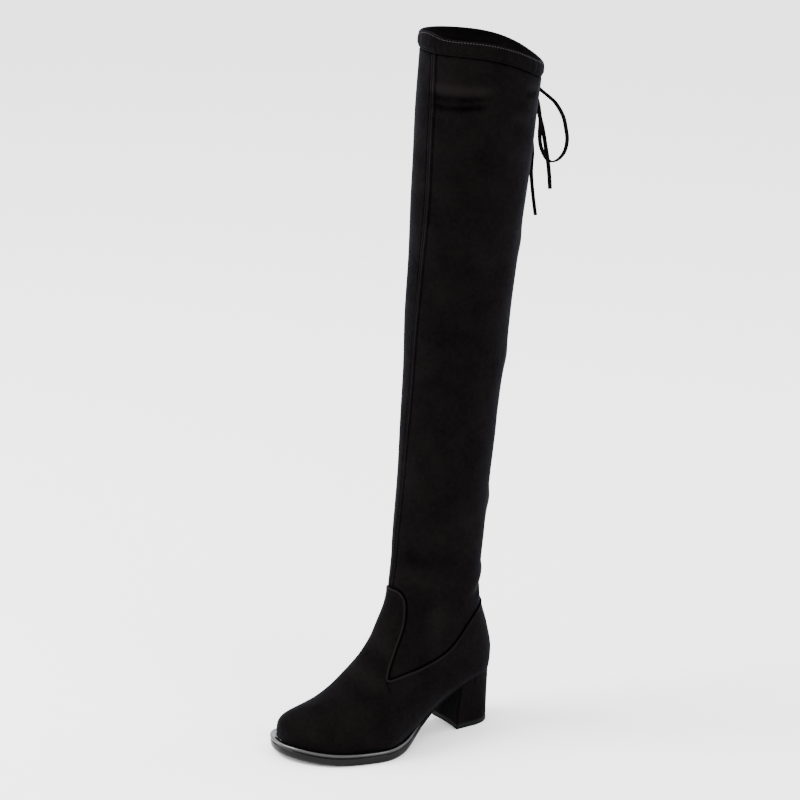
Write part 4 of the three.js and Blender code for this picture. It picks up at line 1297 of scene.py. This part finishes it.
# The sole's side, from the bead down: how far out, how far down, and the share of what is left below the lip
SOLE_SIDE = [
    (-0.0060, 0.0, 0), (-0.0046, 0.0, 0), (-0.0038, -0.1 * BEAD, 0), (-0.0031, -0.5 * BEAD, 0),
    (-0.0025, -0.82 * BEAD, 0), (-0.0019, -BEAD, 0), (-0.0013, -0.95 * BEAD, 0), (-0.0008, -0.7 * BEAD, 0),
    (-0.0004, -0.3 * BEAD, 0), (-0.0001, 0.3 * BEAD, 0), (0.0001, 0.0008, 0), (0.0001, 0.0014, 0),
    (0.0, RIM_HEIGHT - 0.0004, 0), (-0.0002, RIM_HEIGHT - 0.0001, 0),
    (-0.0006, RIM_HEIGHT + 0.0001, 0), (-GROOVE_DEPTH, RIM_HEIGHT + 0.0003, 0),
    (-GROOVE_DEPTH - 0.0001, RIM_HEIGHT + 0.0007, 0), (-GROOVE_DEPTH, LIP_BOTTOM - 0.0003, 0),
    (-0.0007, LIP_BOTTOM - 0.00005, 0), (-0.00045, LIP_BOTTOM + 0.0002, 0), (-0.0003, LIP_BOTTOM, 0.08),
    (-0.00025, LIP_BOTTOM, 0.3), (-0.0003, LIP_BOTTOM, 0.5), (-0.00045, LIP_BOTTOM, 0.7),
    (-0.0008, LIP_BOTTOM, 0.86), (-0.0012, LIP_BOTTOM, 0.94), (-0.0018, LIP_BOTTOM, 0.985),
    (-0.0026, LIP_BOTTOM, 1.0),
]
# How much the side reflects, by how far down: the bead is polished, its reflection raised to a painted
# highlight, and the groove and the moulded side reflect little, a painted shade.
POLISH_AND_PAINTED_LIGHT = [(-BEAD, 1), (0, 0.4), (0.0012, -0.3), (RIM_HEIGHT, -1), (LIP_BOTTOM, -0.8)]
BREAST_TOP_Y = -TREAD_LENGTH / 2 + BREAST_RAKE


def widen(line, margin):
    """A closed line in plan, moved sideways by a margin."""
    before, after = np.roll(line, 1, axis=0), np.roll(line, -1, axis=0)
    run = after - before
    length = np.hypot(run[:, 0], run[:, 1])
    wide = line.copy()
    wide[:, 0] += run[:, 1] / length * margin
    wide[:, 1] -= run[:, 0] / length * margin
    return wide


FEATHER = feather.line(520)


def from_middle(line):
    return np.linalg.norm((line - FEATHER.mean(axis=0))[:, :2], axis=1).sum()


OUTWARD = 1 if from_middle(widen(FEATHER, 0.001)) > from_middle(FEATHER) else -1


def sole_ring(out, fixed, share):
    """One row of the sole's side round the feather line."""
    reach = reach_share(along_at(FEATHER[:, 1]))
    ring = widen(FEATHER, OUTWARD * (RIM_REACH * reach + out * np.clip(reach, 0, 1)))
    thick = thick_share(along_at(ring[:, 1]))
    full = FOREPART_THICKNESS - TOUCH
    shaped = fixed + share * (full - LIP_BOTTOM)
    plain = shaped / full * SHANK_THICKNESS
    ring[:, 2] = bed_height(ring[:, 1]) - TOUCH - lerp(plain, shaped, thick)
    return ring


def cap_strip(ring_start, count, flip):
    """Quads across a ring, between points of equal rank on its two sides."""
    faces = []
    for j in range(count // 2):
        a, b = ring_start + j, ring_start + j + 1
        c, d = ring_start + (count - j) % count, ring_start + (count - j - 1) % count
        quad = [a, b, d, c] if j > 0 else [a, b, d]
        if j == count // 2 - 1:
            quad = [a, b, c]
        faces.append(quad[::-1] if flip else quad)
    return faces


def outsole_piece():
    """The sole's rings from the bead at the rim down to the tread, and how much each reflects: polish with a
    painted highlight on the bead and painted shade below it, and no reflection, a painted shade, where the
    sole's edge draws in at the waist.
    """
    rings = np.array([sole_ring(*row) for row in SOLE_SIDE])
    polish_and_painted_light = np.interp([row[1] for row in SOLE_SIDE], *zip(*POLISH_AND_PAINTED_LIGHT))
    end = BREAST_TOP_Y - 2 * TOUCH
    rings[..., 1] = np.minimum(rings[..., 1], end)
    count = rings.shape[1]
    faces = grid_faces(len(rings), count, True).tolist()
    faces += cap_strip(0, count, False) + cap_strip((len(rings) - 1) * count, count, True)
    reach = np.clip(reach_share(along_at(rings[..., 1])), 0, 1)
    return rings, faces, lerp(-1, polish_and_painted_light[:, None], reach)


outsole_rings, outsole_faces, outsole_polish_and_painted_light = outsole_piece()
outsole = add_mesh("outsole_rubber", outsole_rings, outsole_faces, RUBBER, outsole_polish_and_painted_light)
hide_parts("outsole")


# The heel: a flat breast in front and a full round back
HEEL_CENTRE_Y = -TREAD_LENGTH / 2 + 0.45 * TREAD_LENGTH
HEEL_AROUND = 120
HEEL_ROUNDNESS = 2.4
SEAT_INSET = 0.0012


def tread_outline():
    """The tread's outline: the hollow breast, the outer side, the round back and the inner side."""
    angle = np.linspace(0, math.pi, HEEL_AROUND + 1)
    c, s = np.cos(angle), np.sin(angle)
    power = 2 / HEEL_ROUNDNESS
    arc = np.stack([
        TREAD_WIDTH / 2 * np.sign(c) * np.abs(c) ** power,
        HEEL_CENTRE_Y + (TREAD_LENGTH / 2 - HEEL_CENTRE_Y) * np.abs(s) ** power,
    ], -1)
    breast = -TREAD_LENGTH / 2
    across = np.linspace(-TREAD_WIDTH / 2, TREAD_WIDTH / 2, 21)
    front = np.stack([across, breast + BREAST_HOLLOW * (1 - (2 * across / TREAD_WIDTH) ** 2)], -1)
    side = np.stack([np.full(7, TREAD_WIDTH / 2), np.linspace(breast, HEEL_CENTRE_Y, 8)[1:]], -1)
    other = np.stack([np.full(7, -TREAD_WIDTH / 2), np.linspace(HEEL_CENTRE_Y, breast, 8)[:-1]], -1)
    return np.vstack([front, side, arc[1:-1], other])


def feather_hit(direction):
    """How far the feather line is from the heel's centre in a direction."""
    start = FEATHER[:, :2] - np.array([0, HEEL_CENTRE_Y])
    edge = np.roll(start, -1, axis=0) - start
    cross = direction[0] * edge[:, 1] - direction[1] * edge[:, 0]
    t = (start[:, 0] * edge[:, 1] - start[:, 1] * edge[:, 0]) / cross
    u = (start[:, 0] * direction[1] - start[:, 1] * direction[0]) / cross
    return float(t[(t > 0) & (u >= 0) & (u <= 1)].min())


def seat_outline(tread):
    """The outline under the seat, just inside the feather, with a point for each of the tread's."""
    centre = np.array([0, HEEL_CENTRE_Y])
    seat = []
    for x, y in tread:
        if y < -TREAD_LENGTH / 2 + BREAST_HOLLOW + 1e-6 and abs(x) < TREAD_WIDTH / 2:
            corner_dir = np.array([math.copysign(SEAT_WIDTH / 2, x or 1), BREAST_TOP_Y - HEEL_CENTRE_Y])
            corner_dir /= np.linalg.norm(corner_dir)
            edge_x = abs(corner_dir[0] * (feather_hit(corner_dir) - SEAT_INSET))
            seat.append((x / (TREAD_WIDTH / 2) * edge_x, y + BREAST_RAKE))
            continue
        rake = BREAST_RAKE if y < HEEL_CENTRE_Y else 0
        towards = np.array([x * SEAT_WIDTH / TREAD_WIDTH, y - HEEL_CENTRE_Y + rake])
        towards /= np.linalg.norm(towards)
        seat.append(tuple(centre + towards * (feather_hit(towards) - SEAT_INSET)))
    return np.array(seat)


TREAD = tread_outline()
SEAT = seat_outline(TREAD)


def shrunk(ring, shrink):
    """An outline drawn in towards the heel's centre, by about shrink at its edge."""
    return ring + (np.array([0, HEEL_CENTRE_Y]) - ring) * (shrink / 0.025)


def heel_ring(level, shrink=0.0):
    x = lerp(TREAD[:, 0], SEAT[:, 0], level**1.25)
    y = lerp(TREAD[:, 1], SEAT[:, 1], level)
    ring = shrunk(np.stack([x, y], -1), shrink)
    z = lerp(LIFT_THICKNESS + TOUCH, bed_height(y) - TOUCH, level)
    return np.column_stack([ring, z])


HEEL_LEVELS = [0.0, 0.008, 0.03, 0.1, 0.2, 0.3, 0.42, 0.54, 0.66, 0.76, 0.85, 0.92, 0.97, 1.0]
heel_rings = [heel_ring(0.0, 0.0009)]
heel_rings += [heel_ring(level, 0.0006 * math.exp(-level / 0.012)) for level in HEEL_LEVELS]
heel = add_mesh("heel_suede", *loft(heel_rings, "fan", "fan"), SUEDE)
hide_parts("heel_block")


# The lift's edge: how high, and how far drawn in
LIFT_EDGE = [
    (0.0, 0.0012), (0.0001, 0.0006), (0.0005, 0.0001), (0.001, 0.0), (0.0025, -0.0001),
    (LIFT_THICKNESS - 0.0005, 0.0), (LIFT_THICKNESS - 0.0001, 0.0003), (LIFT_THICKNESS, 0.0008),
]
lift_rings = [np.column_stack([shrunk(TREAD, shrink), np.full(len(TREAD), z)]) for z, shrink in LIFT_EDGE]
lift = add_mesh("lift_rubber", *loft(lift_rings, "fan", "fan"), LIFT)
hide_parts("top_lift")

# The insole keeps its solid, with the sock's cloth on it.
for material_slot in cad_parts["insole"].material_slots:
    material_slot.material = SOCK


# Stitches
STITCH_SIDES = 6
STITCH_SINK = 0.0002


def read_at(place, length, line):
    """The point of a line at a length along it."""
    return np.array([np.interp(place, length, line[:, i]) for i in range(3)])


def stitches(name, line, normals, closed=False, thread=THREAD):
    """Short threads end to end along a line on the surface."""
    if closed:
        line, normals = np.vstack([line, line[:1]]), np.vstack([normals, normals[:1]])
    length = np.concatenate([[0], np.cumsum(np.linalg.norm(np.diff(line, axis=0), axis=1))])
    count = int(length[-1] / STITCH_PITCH)
    middles = (np.arange(count) + 0.5) * length[-1] / count
    points, faces = [], []
    for middle in middles:
        ends = [read_at(middle + end * STITCH_LENGTH / 2, length, line) for end in (-1, 1)]
        up = read_at(middle, length, normals)
        up /= np.linalg.norm(up)
        along = ends[1] - ends[0]
        along /= np.linalg.norm(along)
        side = np.cross(along, up)
        start = len(points)
        points.append(ends[0] - up * STITCH_SINK)
        for share, size in ((0.18, 0.8), (0.5, 1.0), (0.82, 0.8)):
            centre = lerp(ends[0], ends[1], share) + up * 0.0001 * size
            for angle in np.arange(STITCH_SIDES) / STITCH_SIDES * 2 * math.pi:
                radial = side * math.cos(angle) + up * math.sin(angle)
                points.append(centre + radial * STITCH_WIDTH / 2 * size)
        points.append(ends[1] - up * STITCH_SINK)
        last_ring = start + 1 + 2 * STITCH_SIDES
        for j in range(STITCH_SIDES):
            n = (j + 1) % STITCH_SIDES
            faces.append([start, start + 1 + n, start + 1 + j])
            for a in (start + 1, start + 1 + STITCH_SIDES):
                faces.append([a + j, a + n, a + STITCH_SIDES + n, a + STITCH_SIDES + j])
            faces.append([last_ring + STITCH_SIDES, last_ring + j, last_ring + n])
    return add_mesh(name, np.array(points), faces, thread)


SEAM_STITCH_OFFSET = 0.0031
for seam_name, seam in (("front", 0.0), ("back", math.pi)):
    for side_name, side in (("outer", 1), ("inner", -1)):
        turn = seam + side * SEAM_STITCH_OFFSET / SEAM_RADIUS
        foot = float(np.interp(turn % (2 * math.pi), SHAFT_TURNS, SHAFT_FOOT))
        base, normals = base_and_normal(np.linspace(foot + 0.05, K_CASING - 0.03, 600), turn)
        line = base + normals * (relief(base) + 0.0001)[..., None]
        stitches(f"stitches_{seam_name}_{side_name}", line, normals)
around = np.linspace(0, 2 * math.pi, 721)[:-1]
for band_name, share, thread in (("low", LOW_STITCHES, THREAD), ("high", HIGH_STITCHES, COLLAR_THREAD)):
    base, normals = base_and_normal(lerp(K_CASING, K_TOP, share), around)
    line = base + normals * 0.0009
    line[:, 2] += peak_rise(around, share)
    stitches(f"stitches_collar_{band_name}", line, normals, True, thread)
channel_line = edge_roll[ROLL_CHANNEL] + edge_normal * 0.00012
stitches("stitches_overlay", channel_line, edge_normal, True)

# The stage: a pale floor and soft studio light
FLOOR_HALF = 8.0
FLOOR_COLOUR = (0.96, 0.96, 0.955)
BOOT_MIDDLE = (0, -0.05, 0.35)
WORLD_STRENGTH = 2.7
# Where each soft light stands, its width and height, and its watts
LIGHTS = {
    "key": ((-0.9, -2.0, 2.6), (1.4, 1.4), 170),
    "side": ((2.6, 0.6, 1.6), (1.4, 1.8), 45),
    "rim_left": ((-1.4, -1.6, 0.9), (0.6, 1.8), 24),
    "rim_right": ((0.6, 2.2, 1.0), (0.6, 1.8), 24),
}

floor_material, _, _, floor_shader = new_material("floor", 0.9)
floor_shader.inputs["Base Color"].default_value = (*FLOOR_COLOUR, 1)
floor_shader.inputs["Specular IOR Level"].default_value = 0.1
floor_mesh = bpy.data.meshes.new("floor")
floor_corners = [(FLOOR_HALF * x, FLOOR_HALF * y, 0) for x, y in ((-1, -1), (1, -1), (1, 1), (-1, 1))]
floor_mesh.from_pydata(floor_corners, [], [(0, 1, 2, 3)])
floor_mesh.materials.append(floor_material)
floor = bpy.data.objects.new("floor", floor_mesh)
bpy.context.scene.collection.objects.link(floor)

for light_name, (place, size, power) in LIGHTS.items():
    data = bpy.data.lights.new(light_name, "AREA")
    data.shape = "RECTANGLE"
    data.size, data.size_y = size
    data.energy = power
    light = bpy.data.objects.new(light_name, data)
    light.location = place
    light.rotation_euler = (Vector(BOOT_MIDDLE) - Vector(place)).to_track_quat("-Z", "Y").to_euler()
    bpy.context.scene.collection.objects.link(light)

world = bpy.data.worlds.new("world")
world.use_nodes = True
world.node_tree.nodes["Background"].inputs["Color"].default_value = (1, 1, 1, 1)
world.node_tree.nodes["Background"].inputs["Strength"].default_value = WORLD_STRENGTH
bpy.context.scene.world = world
